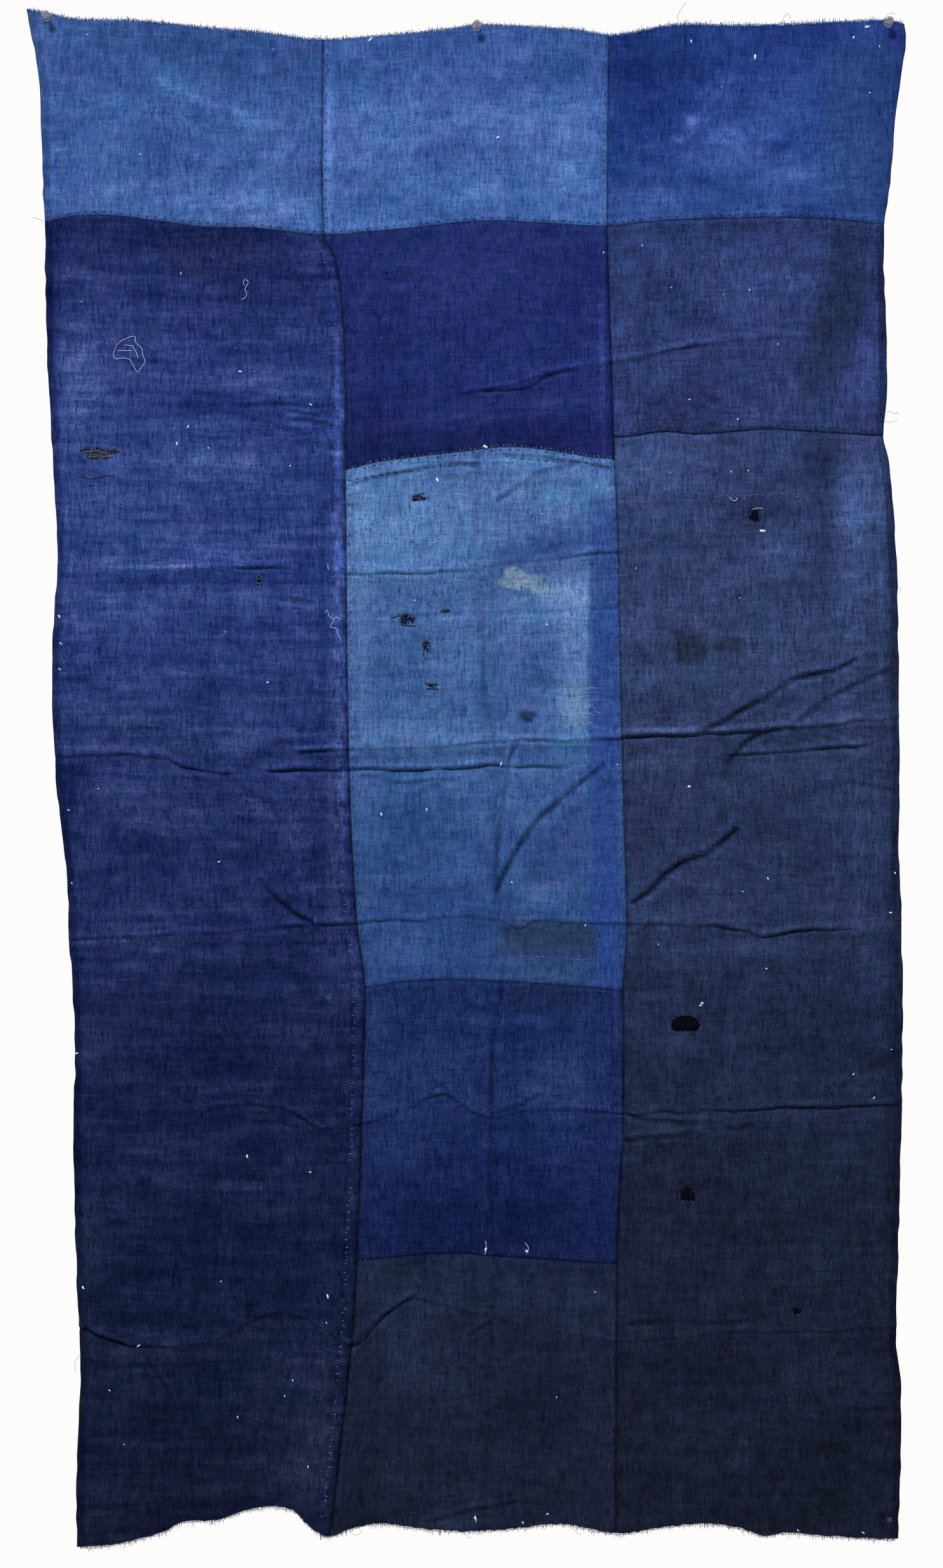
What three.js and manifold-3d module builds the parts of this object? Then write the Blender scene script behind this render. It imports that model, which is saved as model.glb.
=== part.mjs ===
// A boro patched cloth: old indigo cotton, woven narrow, pieced and mended by hand.
//
// Three columns of loom-width cloth are sewn side by side, each from several panels sewn end
// to end. The sheet hangs flat from three clear push pins along its frayed top edge. It was
// stored folded, so storage folds cross it from side to side, and its hem waves forward.
//
// Millimetres. X runs to the right along the sheet, Z is up and Y runs back, away from the
// viewer. The origin is the point where the middle pin enters the sheet.

import * as THREE from 'three';
import { mergeVertices } from 'three/addons/utils/BufferGeometryUtils.js';
import Module from 'manifold-3d';

const wasm = await Module();
wasm.setup();

// Driving dimensions

const CLOTH_THICKNESS = 1.5;
const SEAM_GAP = 0.3;
const CELL = 29;
const COLUMN_CELLS = { left: 11, middleLeft: 6, middleRight: 5, right: 11 };

const TOP_LIFT = 2;
const HANG_LIFT = 6;
const HANG_STARTS = -45;
const HANG_FULL = -170;
const CREST_RADIUS = 1.5;

const BACKING_THICKNESS = 1.1;
const BACKING_GAP = 0.4;

const PIN_CLEARANCE = 0.3;
const NEEDLE_RADIUS = 0.55;
const NEEDLE_REACH = 10;
const NEEDLE_TIP = 2.6;
const NEEDLE_SOCKET = 5.5;
const PIN_SIDES = 14;
const NEEDLE_SIDES = 8;

// Upright lines of the sheet from left to right: the outer edges, the two long seams and the
// long soft fold down the middle column. Each row of a table is [height z, place x].

const uprights = {
  leftEdge: [
    [21, -517], [-4, -512], [-57, -503], [-131, -499], [-223, -495], [-372, -492],
    [-545, -483], [-614, -480], [-726, -486], [-853, -483], [-947, -472], [-1045, -466],
    [-1172, -460], [-1263, -462], [-1424, -458], [-1517, -453], [-1656, -457], [-1741, -456],
  ],
  leftSeam: [
    [-12, -176], [-240, -175], [-265, -163], [-300, -156], [-377, -151], [-509, -150],
    [-851, -146], [-1028, -137], [-1102, -128], [-1250, -131], [-1414, -137], [-1502, -142],
    [-1728, -166],
  ],
  middleFold: [
    [3, 0], [-240, 0], [-505, 1], [-626, 4], [-783, 11], [-837, 26], [-923, 21],
    [-1064, 27], [-1155, 20], [-1410, 20], [-1728, 5],
  ],
  rightSeam: [
    [-9, 152], [-230, 150], [-496, 158], [-604, 162], [-809, 166], [-918, 169],
    [-1029, 172], [-1107, 168], [-1245, 168], [-1418, 161], [-1725, 159],
  ],
  rightEdge: [
    [4, 491], [-13, 493], [-105, 480], [-193, 472], [-230, 466], [-408, 470], [-471, 466],
    [-503, 472], [-631, 481], [-771, 483], [-872, 484], [-961, 483], [-1039, 487],
    [-1210, 487], [-1386, 483], [-1500, 480], [-1553, 485], [-1668, 484], [-1732, 481],
  ],
};

// Level lines of the sheet from top to hem: edges, cross seams and storage folds. Each row of
// line is [place x, height z]. A fold's crest is [place x, how far it stands forward], and
// above and below say how far its slopes reach.

const levels = {
  topEdge: {
    line: [
      [-517, 21], [-492, 16], [-466, 10], [-385, 7], [-315, 0], [-245, -6], [-183, -14],
      [-122, -11], [-78, -7], [-27, -1], [0, 3], [88, -1], [114, -3], [152, -9], [183, -5],
      [228, 3], [300, 2], [369, 4], [469, 8], [491, 4],
    ],
  },
  rowSeam: {
    line: [
      [-496, -226], [-460, -219], [-418, -218], [-365, -224], [-314, -231], [-256, -232],
      [-175, -240], [-117, -236], [-53, -230], [4, -224], [63, -226], [151, -230],
      [196, -225], [253, -222], [345, -220], [420, -223], [466, -230],
    ],
  },
  foldOne: {
    line: [
      [-492, -428], [-300, -428], [-210, -444], [-150, -438], [-7, -420], [55, -415],
      [88, -400], [139, -392], [208, -376], [258, -367], [320, -360], [383, -358],
      [470, -358],
    ],
    crest: [[-240, 0], [-200, 2], [-170, 0], [-30, 0], [55, 3], [208, 3], [320, 2.5], [383, 0]],
    above: 24,
    below: 12,
  },
  rightCrossSeam: {
    line: [
      [-488, -478], [-150, -478], [0, -462], [100, -458], [158, -472], [215, -466],
      [253, -469], [295, -466], [332, -463], [385, -466], [466, -471],
    ],
  },
  navySeam: {
    line: [
      [-484, -520], [-300, -520], [-150, -509], [-112, -500], [-14, -488], [37, -483],
      [88, -488], [142, -496], [300, -500], [470, -505],
    ],
  },
  foldTwo: {
    line: [
      [-481, -622], [-196, -622], [-150, -627], [-4, -624], [20, -617], [99, -610],
      [146, -603], [310, -612], [481, -625],
    ],
    crest: [[-475, 2], [-300, 3], [-196, 2], [-150, 3], [20, 3.5], [150, 3.5], [180, 0]],
    above: 26,
    below: 14,
  },
  foldThreeUpper: {
    line: [
      [-483, -812], [-355, -815], [-285, -830], [-146, -829], [-50, -826], [12, -821],
      [166, -815], [248, -811], [307, -808], [379, -802], [483, -793],
    ],
    crest: [[-170, 0], [-130, 3.5], [80, 3.5], [170, 5], [400, 5.5], [485, 4]],
    above: 30,
    below: 12,
  },
  foldThreeLower: {
    line: [
      [-483, -838], [-430, -835], [-355, -839], [-339, -849], [-285, -855], [-146, -851],
      [-39, -852], [18, -847], [96, -849], [166, -842], [300, -835], [483, -820],
    ],
    crest: [[-483, -3], [-300, -4.5], [-146, -4], [-39, -3.5], [96, -2.5], [140, 0]],
    above: 14,
    below: 26,
  },
  foldFour: {
    line: [
      [-466, -1047], [-370, -1042], [-280, -1035], [-199, -1030], [-70, -1024], [20, -1022],
      [48, -1034], [69, -1026], [171, -1029], [277, -1031], [310, -1036], [326, -1044],
      [372, -1036], [487, -1034],
    ],
    crest: [[-466, 2], [-280, 3], [20, 2], [200, 2.5], [404, 3], [487, 1]],
    above: 22,
    below: 12,
  },
  lightSeam: {
    line: [
      [-463, -1105], [-300, -1105], [-128, -1102], [-80, -1095], [-29, -1093], [28, -1095],
      [132, -1102], [168, -1106], [487, -1100],
    ],
  },
  foldFive: {
    line: [
      [-462, -1243], [-328, -1242], [-214, -1243], [-178, -1262], [-140, -1259], [-90, -1245],
      [-38, -1222], [-4, -1245], [19, -1249], [61, -1242], [168, -1245], [359, -1238],
      [487, -1234],
    ],
    crest: [[-380, 0], [-328, 2], [-178, 3], [-90, 1], [-38, 3], [61, 3.5], [168, 4], [487, 4.5]],
    above: 26,
    below: 12,
  },
  charcoalSeam: {
    line: [
      [-458, -1415], [-300, -1412], [-137, -1414], [-38, -1407], [8, -1409], [84, -1414],
      [160, -1418], [300, -1408], [482, -1400],
    ],
  },
  foldSix: {
    line: [
      [-455, -1488], [-403, -1508], [-385, -1510], [-303, -1506], [-231, -1472],
      [-190, -1480], [-141, -1508], [-107, -1478], [-72, -1458], [20, -1480], [100, -1498],
      [160, -1505], [299, -1495], [382, -1495], [480, -1489],
    ],
    crest: [[-455, 3], [-385, 4], [-231, 4], [-141, 2], [-72, 3], [20, 1], [160, 3], [480, 3.5]],
    above: 24,
    below: 14,
  },
  hem: {
    line: [
      [-456, -1741], [-410, -1737], [-357, -1726], [-339, -1716], [-296, -1713], [-267, -1703],
      [-231, -1697], [-207, -1699], [-196, -1708], [-171, -1722], [-146, -1717], [-114, -1715],
      [-69, -1721], [-11, -1724], [46, -1721], [99, -1717], [159, -1725], [203, -1721],
      [260, -1716], [299, -1719], [325, -1727], [352, -1725], [405, -1731], [481, -1732],
    ],
  },
};

// Slanting creases: points along the crest in [x, z], its height and the reach of its slopes.

const slantedCreases = [
  { line: [[145, -847], [125, -862], [89, -893], [69, -910], [45, -944], [23, -992]], height: 5, reach: 20 },
  { line: [[265, -804], [314, -782], [356, -759], [404, -742], [456, -715]], height: 4, reach: 20 },
  { line: [[-280, -860], [-227, -892], [-191, -934]], height: 4, reach: 20 },
  { line: [[180, -1004], [197, -993], [223, -967], [261, -951]], height: 4.5, reach: 18 },
  { line: [[163, -1485], [222, -1481], [347, -1449], [481, -1436]], height: 3, reach: 18 },
];

// Broad swells of the hanging cloth: centre, half width, half height and how far forward.

const swells = [
  { x: -400, z: -330, wide: 90, tall: 80, forward: 3 },
  { x: -250, z: -560, wide: 110, tall: 110, forward: 4 },
  { x: -430, z: -720, wide: 80, tall: 90, forward: 3 },
  { x: -230, z: -960, wide: 90, tall: 80, forward: 4 },
  { x: -390, z: -1140, wide: 90, tall: 80, forward: 3 },
  { x: -300, z: -1370, wide: 110, tall: 90, forward: 3 },
  { x: -30, z: -320, wide: 120, tall: 70, forward: 3 },
  { x: 80, z: -550, wide: 80, tall: 60, forward: 3 },
  { x: -60, z: -740, wide: 100, tall: 80, forward: 3 },
  { x: 90, z: -970, wide: 80, tall: 70, forward: 3 },
  { x: -60, z: -1160, wide: 90, tall: 70, forward: 2.5 },
  { x: 70, z: -1330, wide: 90, tall: 80, forward: 3 },
  { x: 260, z: -420, wide: 90, tall: 60, forward: 3 },
  { x: 400, z: -640, wide: 80, tall: 110, forward: 4 },
  { x: 260, z: -900, wide: 80, tall: 60, forward: 3 },
  { x: 420, z: -940, wide: 80, tall: 80, forward: 4 },
  { x: 300, z: -1140, wide: 110, tall: 70, forward: 3 },
  { x: 410, z: -1330, wide: 80, tall: 80, forward: 3 },
];

// Waves of the free hem: centre, half width, how far forward at the hem, and how far up the
// wave reaches.

const hemWaves = [
  { x: -430, wide: 55, forward: 12, reach: 380 },
  { x: -335, wide: 35, forward: -3, reach: 220 },
  { x: -240, wide: 40, forward: -5, reach: 300 },
  { x: -170, wide: 42, forward: 30, reach: 430 },
  { x: -20, wide: 70, forward: 6, reach: 260 },
  { x: 159, wide: 55, forward: 8, reach: 300 },
  { x: 325, wide: 50, forward: 12, reach: 320 },
  { x: 472, wide: 45, forward: 8, reach: 360 },
];

// The panels, each between two upright lines and two level lines, with its colour.

const panels = [
  { name: 'top_left', from: 'leftEdge', to: 'leftSeam', top: 'topEdge', bottom: 'rowSeam', colour: 0x3f5d9b },
  { name: 'top_middle', from: 'leftSeam', to: 'rightSeam', top: 'topEdge', bottom: 'rowSeam', colour: 0x4262a3 },
  { name: 'top_right', from: 'rightSeam', to: 'rightEdge', top: 'topEdge', bottom: 'rowSeam', colour: 0x2d4787 },
  { name: 'left_long', from: 'leftEdge', to: 'leftSeam', top: 'rowSeam', bottom: 'hem', colour: 0x2b3a70 },
  { name: 'middle_navy', from: 'leftSeam', to: 'rightSeam', top: 'rowSeam', bottom: 'navySeam', colour: 0x232e68 },
  { name: 'middle_light', from: 'leftSeam', to: 'rightSeam', top: 'navySeam', bottom: 'lightSeam', colour: 0x45669c },
  { name: 'middle_mid', from: 'leftSeam', to: 'rightSeam', top: 'lightSeam', bottom: 'charcoalSeam', colour: 0x1d2b59 },
  { name: 'middle_charcoal', from: 'leftSeam', to: 'rightSeam', top: 'charcoalSeam', bottom: 'hem', colour: 0x1e2338 },
  { name: 'right_upper', from: 'rightSeam', to: 'rightEdge', top: 'rowSeam', bottom: 'rightCrossSeam', colour: 0x2e3c69 },
  { name: 'right_long', from: 'rightSeam', to: 'rightEdge', top: 'rightCrossSeam', bottom: 'hem', colour: 0x2b3758 },
];

// Worn holes: the panel, the centre, the size, and arched where the lower rim runs straight.

const wornHoles = [
  { panel: 'left_long', x: -433, z: -491, width: 41, height: 14 },
  { panel: 'left_long', x: -249, z: -637, width: 6, height: 15 },
  { panel: 'middle_light', x: -67, z: -542, width: 19, height: 7 },
  { panel: 'middle_light', x: -80, z: -681, width: 19, height: 12 },
  { panel: 'middle_light', x: -58, z: -711, width: 8, height: 16 },
  { panel: 'middle_light', x: -51, z: -757, width: 12, height: 6 },
  { panel: 'right_long', x: 318, z: -563, width: 11, height: 14 },
  { panel: 'right_long', x: 239, z: -1145, width: 35, height: 17, arched: true },
  { panel: 'right_long', x: 242, z: -1340, width: 18, height: 15 },
  { panel: 'right_long', x: 366, z: -1472, width: 11, height: 9 },
];

// Scraps of cloth sewn behind the worn holes: the panel each lies on, its centre and its size.

const backings = [
  { name: 'backing_left_brown', panel: 'left_long', x: -433, z: -502, width: 84, height: 62, colour: 0x3c4258 },
  { name: 'backing_left_slot', panel: 'left_long', x: -249, z: -637, width: 44, height: 48, colour: 0x161a30 },
  { name: 'backing_light', panel: 'middle_light', x: -66, z: -650, width: 92, height: 260, colour: 0x1c2748 },
  { name: 'backing_right_mend', panel: 'right_long', x: 318, z: -558, width: 104, height: 46, colour: 0x1c2440 },
  { name: 'backing_right_arch', panel: 'right_long', x: 239, z: -1145, width: 76, height: 56, colour: 0x0f1220 },
  { name: 'backing_right_low', panel: 'right_long', x: 242, z: -1340, width: 60, height: 52, colour: 0x0f1220 },
  { name: 'backing_right_small', panel: 'right_long', x: 366, z: -1472, width: 46, height: 42, colour: 0x0f1220 },
];

// Where the push pins enter the sheet, close under its top edge.

const pins = [
  { side: 'left', panel: 'top_left', x: -493, z: 11 },
  { side: 'middle', panel: 'top_middle', x: 0, z: 0 },
  { side: 'right', panel: 'top_right', x: 472, z: 4 },
];

// Curves through the points of a table

function clamp(value, low, high) {
  return Math.min(Math.max(value, low), high);
}

function mix(a, b, share) {
  return a + (b - a) * share;
}

function smoothStep(share) {
  const s = clamp(share, 0, 1);
  return s * s * (3 - 2 * s);
}

// A smooth curve through points whose first values rise; beyond its ends it stays level.
function makeCurve(table) {
  const points = [...table].sort((a, b) => a[0] - b[0]);
  const last = points.length - 1;
  const slopes = points.map((point, i) => {
    const before = points[Math.max(i - 1, 0)];
    const after = points[Math.min(i + 1, last)];
    return (after[1] - before[1]) / (after[0] - before[0]);
  });
  return (place) => {
    const at = clamp(place, points[0][0], points[last][0]);
    let i = 0;
    while (i < last - 1 && points[i + 1][0] < at) i += 1;
    const [start, end] = [points[i], points[i + 1]];
    const span = end[0] - start[0];
    const s = (at - start[0]) / span;
    const t = 1 - s;
    return start[1] * t * t * (1 + 2 * s) + end[1] * s * s * (3 - 2 * s)
      + span * s * t * (slopes[i] * t - slopes[i + 1] * s);
  };
}

// Straight lines between the points of a table; beyond its ends it stays level.
function makeRamp(table) {
  return (place) => {
    if (place <= table[0][0]) return table[0][1];
    for (let i = 1; i < table.length; i += 1) {
      const [before, after] = [table[i - 1], table[i]];
      if (place <= after[0]) {
        return mix(before[1], after[1], (place - before[0]) / (after[0] - before[0]));
      }
    }
    return table[table.length - 1][1];
  };
}

const uprightNames = Object.keys(uprights);
const uprightCurves = Object.fromEntries(uprightNames.map((name) => [name, makeCurve(uprights[name])]));
const levelNames = Object.keys(levels);
const levelCurves = Object.fromEntries(levelNames.map((name) => [name, makeCurve(levels[name].line)]));

// How far the sheet stands forward of the plane that it hangs against

function crestShape(distance, reach) {
  return Math.exp(-(Math.hypot(distance, CREST_RADIUS) - CREST_RADIUS) / reach);
}

const folds = levelNames.filter((name) => levels[name].crest).map((name) => ({
  height: levelCurves[name],
  forward: makeRamp(levels[name].crest),
  above: levels[name].above,
  below: levels[name].below,
}));

function foldLift(fold, x, z) {
  const rise = z - fold.height(x);
  return fold.forward(x) * crestShape(rise, rise > 0 ? fold.above : fold.below);
}

function distanceToLine(line, x, z) {
  let nearest = Infinity;
  for (let i = 1; i < line.length; i += 1) {
    const [startX, startZ] = line[i - 1];
    const [alongX, alongZ] = [line[i][0] - startX, line[i][1] - startZ];
    const share = ((x - startX) * alongX + (z - startZ) * alongZ) / (alongX ** 2 + alongZ ** 2);
    const at = clamp(share, 0, 1);
    nearest = Math.min(nearest, Math.hypot(x - startX - alongX * at, z - startZ - alongZ * at));
  }
  return nearest;
}

function creaseLift(crease, x, z) {
  return crease.height * crestShape(distanceToLine(crease.line, x, z), crease.reach);
}

function swellLift(swell, x, z) {
  return swell.forward * Math.exp(-(((x - swell.x) / swell.wide) ** 2) - ((z - swell.z) / swell.tall) ** 2);
}

function waveLift(wave, x, z) {
  const down = clamp(1 - (z - levelCurves.hem(x)) / wave.reach, 0, 1);
  return wave.forward * Math.exp(-(((x - wave.x) / wave.wide) ** 2)) * down ** 1.5;
}

function lift(x, z) {
  let total = HANG_LIFT;
  for (const fold of folds) total += foldLift(fold, x, z);
  for (const crease of slantedCreases) total += creaseLift(crease, x, z);
  for (const swell of swells) total += swellLift(swell, x, z);
  for (const wave of hemWaves) total += waveLift(wave, x, z);
  const free = smoothStep((z - HANG_STARTS) / (HANG_FULL - HANG_STARTS));
  return TOP_LIFT + total * free;
}

// The lattice: all panels share its points, so their seams run side by side

// Lines of the lattice as { from, to, share }: a share of the way between two named lines.
function latticeLines(names, cellsBetween) {
  const lines = [];
  for (let i = 1; i < names.length; i += 1) {
    const cells = cellsBetween(names[i - 1], names[i], i - 1);
    for (let step = 0; step < cells; step += 1) {
      lines.push({ from: names[i - 1], to: names[i], share: step / cells });
    }
  }
  const last = names[names.length - 1];
  lines.push({ from: last, to: last, share: 0 });
  return lines;
}

function levelCells(above, below) {
  const gap = levelCurves[above](0) - levelCurves[below](0);
  return Math.max(1, Math.round(gap / CELL));
}

const columnCells = Object.values(COLUMN_CELLS);
const columns = latticeLines(uprightNames, (from, to, index) => columnCells[index]);
const rows = latticeLines(levelNames, levelCells);

function namedIndex(lines, name) {
  return lines.findIndex((line) => line.from === name && line.share === 0);
}

const SETTLE_ROUNDS = 10;

function latticePoint(column, row) {
  let x = 0;
  let z = 0;
  for (let round = 0; round < SETTLE_ROUNDS; round += 1) {
    x = mix(uprightCurves[column.from](z), uprightCurves[column.to](z), column.share);
    z = mix(levelCurves[row.from](x), levelCurves[row.to](x), row.share);
  }
  return { x, z, lift: lift(x, z) };
}

const lattice = rows.map((row) => columns.map((column) => latticePoint(column, row)));

function panelRange(panel) {
  return {
    left: namedIndex(columns, panel.from),
    right: namedIndex(columns, panel.to),
    top: namedIndex(rows, panel.top),
    bottom: namedIndex(rows, panel.bottom),
  };
}

// A closed sheet over a range of the lattice, drawn in by inset at its rim. Its front face
// stands frontOffset behind the middle of the cloth, and its back face backOffset behind it.
function sheetGeometry(range, inset, frontOffset, backOffset) {
  const positions = [];
  const wide = range.right - range.left + 1;
  const tall = range.bottom - range.top + 1;
  for (const offset of [frontOffset, backOffset]) {
    for (let j = 0; j < tall; j += 1) {
      for (let i = 0; i < wide; i += 1) {
        const point = lattice[range.top + j][range.left + i];
        const inX = (i === 0 ? inset : 0) - (i === wide - 1 ? inset : 0);
        const inZ = (j === tall - 1 ? inset : 0) - (j === 0 ? inset : 0);
        positions.push(point.x + inX, offset - point.lift, point.z + inZ);
      }
    }
  }
  const front = (i, j) => j * wide + i;
  const back = (i, j) => wide * tall + j * wide + i;
  const faces = [];
  const quad = (a, b, c, d) => faces.push(a, b, c, a, c, d);
  for (let j = 0; j < tall - 1; j += 1) {
    for (let i = 0; i < wide - 1; i += 1) {
      quad(front(i, j), front(i, j + 1), front(i + 1, j + 1), front(i + 1, j));
      quad(back(i, j), back(i + 1, j), back(i + 1, j + 1), back(i, j + 1));
    }
  }
  for (let i = 0; i < wide - 1; i += 1) {
    quad(front(i, 0), front(i + 1, 0), back(i + 1, 0), back(i, 0));
    quad(front(i + 1, tall - 1), front(i, tall - 1), back(i, tall - 1), back(i + 1, tall - 1));
  }
  for (let j = 0; j < tall - 1; j += 1) {
    quad(front(0, j + 1), front(0, j), back(0, j), back(0, j + 1));
    quad(front(wide - 1, j), front(wide - 1, j + 1), back(wide - 1, j + 1), back(wide - 1, j));
  }
  const geometry = new THREE.BufferGeometry();
  geometry.setAttribute('position', new THREE.Float32BufferAttribute(positions, 3));
  geometry.setIndex(faces);
  return geometry;
}

// Cutting

function toSolid(geometry) {
  const bare = geometry.clone();
  bare.deleteAttribute('normal');
  bare.deleteAttribute('uv');
  const merged = mergeVertices(bare, 1e-4);
  return new wasm.Manifold(new wasm.Mesh({
    numProp: 3,
    vertProperties: new Float32Array(merged.attributes.position.array),
    triVerts: new Uint32Array(merged.index.array),
  }));
}

function toGeometry(solid) {
  const mesh = solid.getMesh();
  const geometry = new THREE.BufferGeometry();
  geometry.setAttribute('position', new THREE.BufferAttribute(mesh.vertProperties, 3));
  geometry.setIndex(new THREE.BufferAttribute(mesh.triVerts, 1));
  geometry.computeVertexNormals();
  return geometry;
}

const CUT_DEPTH = 60;

// A straight prism through the sheet from a shape drawn in x and z about the centre.
function throughPrism(shape, x, z) {
  const geometry = new THREE.ExtrudeGeometry(shape, { depth: CUT_DEPTH, bevelEnabled: false });
  geometry.rotateX(Math.PI / 2);
  geometry.translate(x, CUT_DEPTH / 2 - lift(x, z), z);
  return geometry;
}

const HOLE_POINTS = 12;

// A worn, slightly uneven oval; an arched one has a lower rim that runs nearly straight.
function wornOutline(hole) {
  const shape = new THREE.Shape();
  const outline = [];
  for (let i = 0; i < HOLE_POINTS; i += 1) {
    const angle = (2 * Math.PI * i) / HOLE_POINTS;
    const ragged = 1 + 0.09 * Math.sin(3 * angle + hole.x) + 0.05 * Math.cos(5 * angle + hole.z);
    const across = (hole.width / 2) * ragged * Math.cos(angle);
    let up = (hole.height / 2) * ragged * Math.sin(angle);
    if (hole.arched) up = up < 0 ? -hole.height * 0.35 : up * 1.3;
    outline.push(new THREE.Vector2(across, up));
  }
  shape.setFromPoints(outline);
  return shape;
}

function pinHole() {
  const shape = new THREE.Shape();
  const radius = NEEDLE_RADIUS + PIN_CLEARANCE;
  const outline = [];
  for (let i = 0; i < NEEDLE_SIDES; i += 1) {
    const angle = (2 * Math.PI * i) / NEEDLE_SIDES;
    outline.push(new THREE.Vector2(radius * Math.cos(angle), radius * Math.sin(angle)));
  }
  shape.setFromPoints(outline);
  return shape;
}

// The pieces

function clothMaterial(colour) {
  return new THREE.MeshStandardMaterial({ color: colour, roughness: 0.95, metalness: 0 });
}

function makePanel(panel) {
  const half = CLOTH_THICKNESS / 2;
  let solid = toSolid(sheetGeometry(panelRange(panel), SEAM_GAP / 2, -half, half));
  for (const hole of wornHoles.filter((one) => one.panel === panel.name)) {
    solid = solid.subtract(toSolid(throughPrism(wornOutline(hole), hole.x, hole.z)));
  }
  for (const pin of pins.filter((one) => one.panel === panel.name)) {
    solid = solid.subtract(toSolid(throughPrism(pinHole(), pin.x, pin.z)));
  }
  const mesh = new THREE.Mesh(toGeometry(solid), clothMaterial(panel.colour));
  mesh.name = panel.name;
  return mesh;
}

function makeBacking(backing) {
  const panel = panels.find((one) => one.name === backing.panel);
  const front = CLOTH_THICKNESS / 2 + BACKING_GAP;
  const slab = toSolid(sheetGeometry(panelRange(panel), SEAM_GAP, front, front + BACKING_THICKNESS));
  const shape = new THREE.Shape();
  const [halfWide, halfTall] = [backing.width / 2, backing.height / 2];
  shape.moveTo(-halfWide, -halfTall);
  shape.lineTo(halfWide, -halfTall * 0.96);
  shape.lineTo(halfWide * 0.98, halfTall);
  shape.lineTo(-halfWide * 0.97, halfTall * 0.97);
  shape.closePath();
  const solid = slab.intersect(toSolid(throughPrism(shape, backing.x, backing.z)));
  const mesh = new THREE.Mesh(toGeometry(solid), clothMaterial(backing.colour));
  mesh.name = backing.name;
  return mesh;
}

// Radius and distance from the collar face, from the foot of the needle's socket round the
// outside to the middle of the head.
const pinProfile = [
  [0, NEEDLE_SOCKET], [NEEDLE_RADIUS + PIN_CLEARANCE, NEEDLE_SOCKET],
  [NEEDLE_RADIUS + PIN_CLEARANCE, 0], [5, 0], [5, 0.9], [3.3, 1.9], [2.7, 3.4], [2.6, 7],
  [3, 8.6], [4.4, 9.8], [4.6, 11.4], [3.9, 12.2], [0, 12.4],
];

const needleProfile = [
  [0, -NEEDLE_REACH], [NEEDLE_RADIUS, NEEDLE_TIP - NEEDLE_REACH],
  [NEEDLE_RADIUS, NEEDLE_SOCKET - PIN_CLEARANCE], [0, NEEDLE_SOCKET - PIN_CLEARANCE],
];

function turned(profile, sides) {
  const geometry = new THREE.LatheGeometry(profile.map(([r, y]) => new THREE.Vector2(r, y)), sides);
  return toGeometry(toSolid(geometry));
}

// A push pin: a clear turned head and its steel needle, lying along Y with the head forward.
function makePin(pin) {
  const holder = new THREE.Group();
  const collarFace = -TOP_LIFT - CLOTH_THICKNESS / 2 - PIN_CLEARANCE;
  holder.position.set(pin.x, collarFace, pin.z);
  holder.rotation.x = Math.PI;
  const clear = new THREE.MeshStandardMaterial({ color: 0xe9eef2, roughness: 0.12, metalness: 0 });
  const steel = new THREE.MeshStandardMaterial({ color: 0xb8bbbf, roughness: 0.3, metalness: 1 });
  const head = new THREE.Mesh(turned(pinProfile, PIN_SIDES), clear);
  head.name = `pin_head_${pin.side}`;
  const needle = new THREE.Mesh(turned(needleProfile, NEEDLE_SIDES), steel);
  needle.name = `pin_needle_${pin.side}`;
  holder.add(head, needle);
  return holder;
}

const cloth = new THREE.Group();
for (const panel of panels) cloth.add(makePanel(panel));
for (const backing of backings) cloth.add(makeBacking(backing));
for (const pin of pins) cloth.add(makePin(pin));

export default cloth;
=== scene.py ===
# Dresses a boro patched cloth: old indigo cotton panels sewn side by side, hung from pins.
#
# Metres. X runs right along the cloth, Z is up and Y runs back, away from the viewer. The
# origin is where the middle pin enters the cloth.

import functools
import math

import bpy
import numpy as np
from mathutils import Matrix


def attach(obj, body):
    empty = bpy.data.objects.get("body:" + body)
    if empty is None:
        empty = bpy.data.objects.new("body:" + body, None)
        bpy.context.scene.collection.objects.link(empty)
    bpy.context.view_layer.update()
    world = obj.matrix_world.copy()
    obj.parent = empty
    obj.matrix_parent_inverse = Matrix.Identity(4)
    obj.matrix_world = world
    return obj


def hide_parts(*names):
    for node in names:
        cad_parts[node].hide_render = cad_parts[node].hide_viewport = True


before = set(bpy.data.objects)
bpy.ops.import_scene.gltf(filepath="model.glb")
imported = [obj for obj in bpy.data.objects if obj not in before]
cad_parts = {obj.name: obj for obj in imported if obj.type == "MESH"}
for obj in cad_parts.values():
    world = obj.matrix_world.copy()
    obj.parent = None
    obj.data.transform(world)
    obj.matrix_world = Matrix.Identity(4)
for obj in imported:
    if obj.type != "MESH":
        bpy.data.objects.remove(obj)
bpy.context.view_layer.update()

# Driving sizes

CLOTH_THICKNESS = 0.0009
SOLID_THICKNESS = 0.0015
ROW_PITCH = 0.0025
COLUMN_PITCHES = (0.0045, 0.0034, 0.0034, 0.0039)
ROW_CROWDING = 0.4
COLUMN_CROWDING = 0.3

TOP_LIFT = 0.002
HANG_LIFT = 0.006
HANG_STARTS = -0.045
HANG_FULL = -0.17
CREST_RADIUS = 0.0015
COLLAR_RADIUS = 0.006
COLLAR_EASE = 0.012
WAVE_FADE = 1.5
PINCH_GAIN = 1.6
PINCH_DROP = 0.002
PINCH_WIDTH = 0.0019
RIDGE_RISE = 0.003
RIDGE_WIDTH = 0.0034

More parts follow.
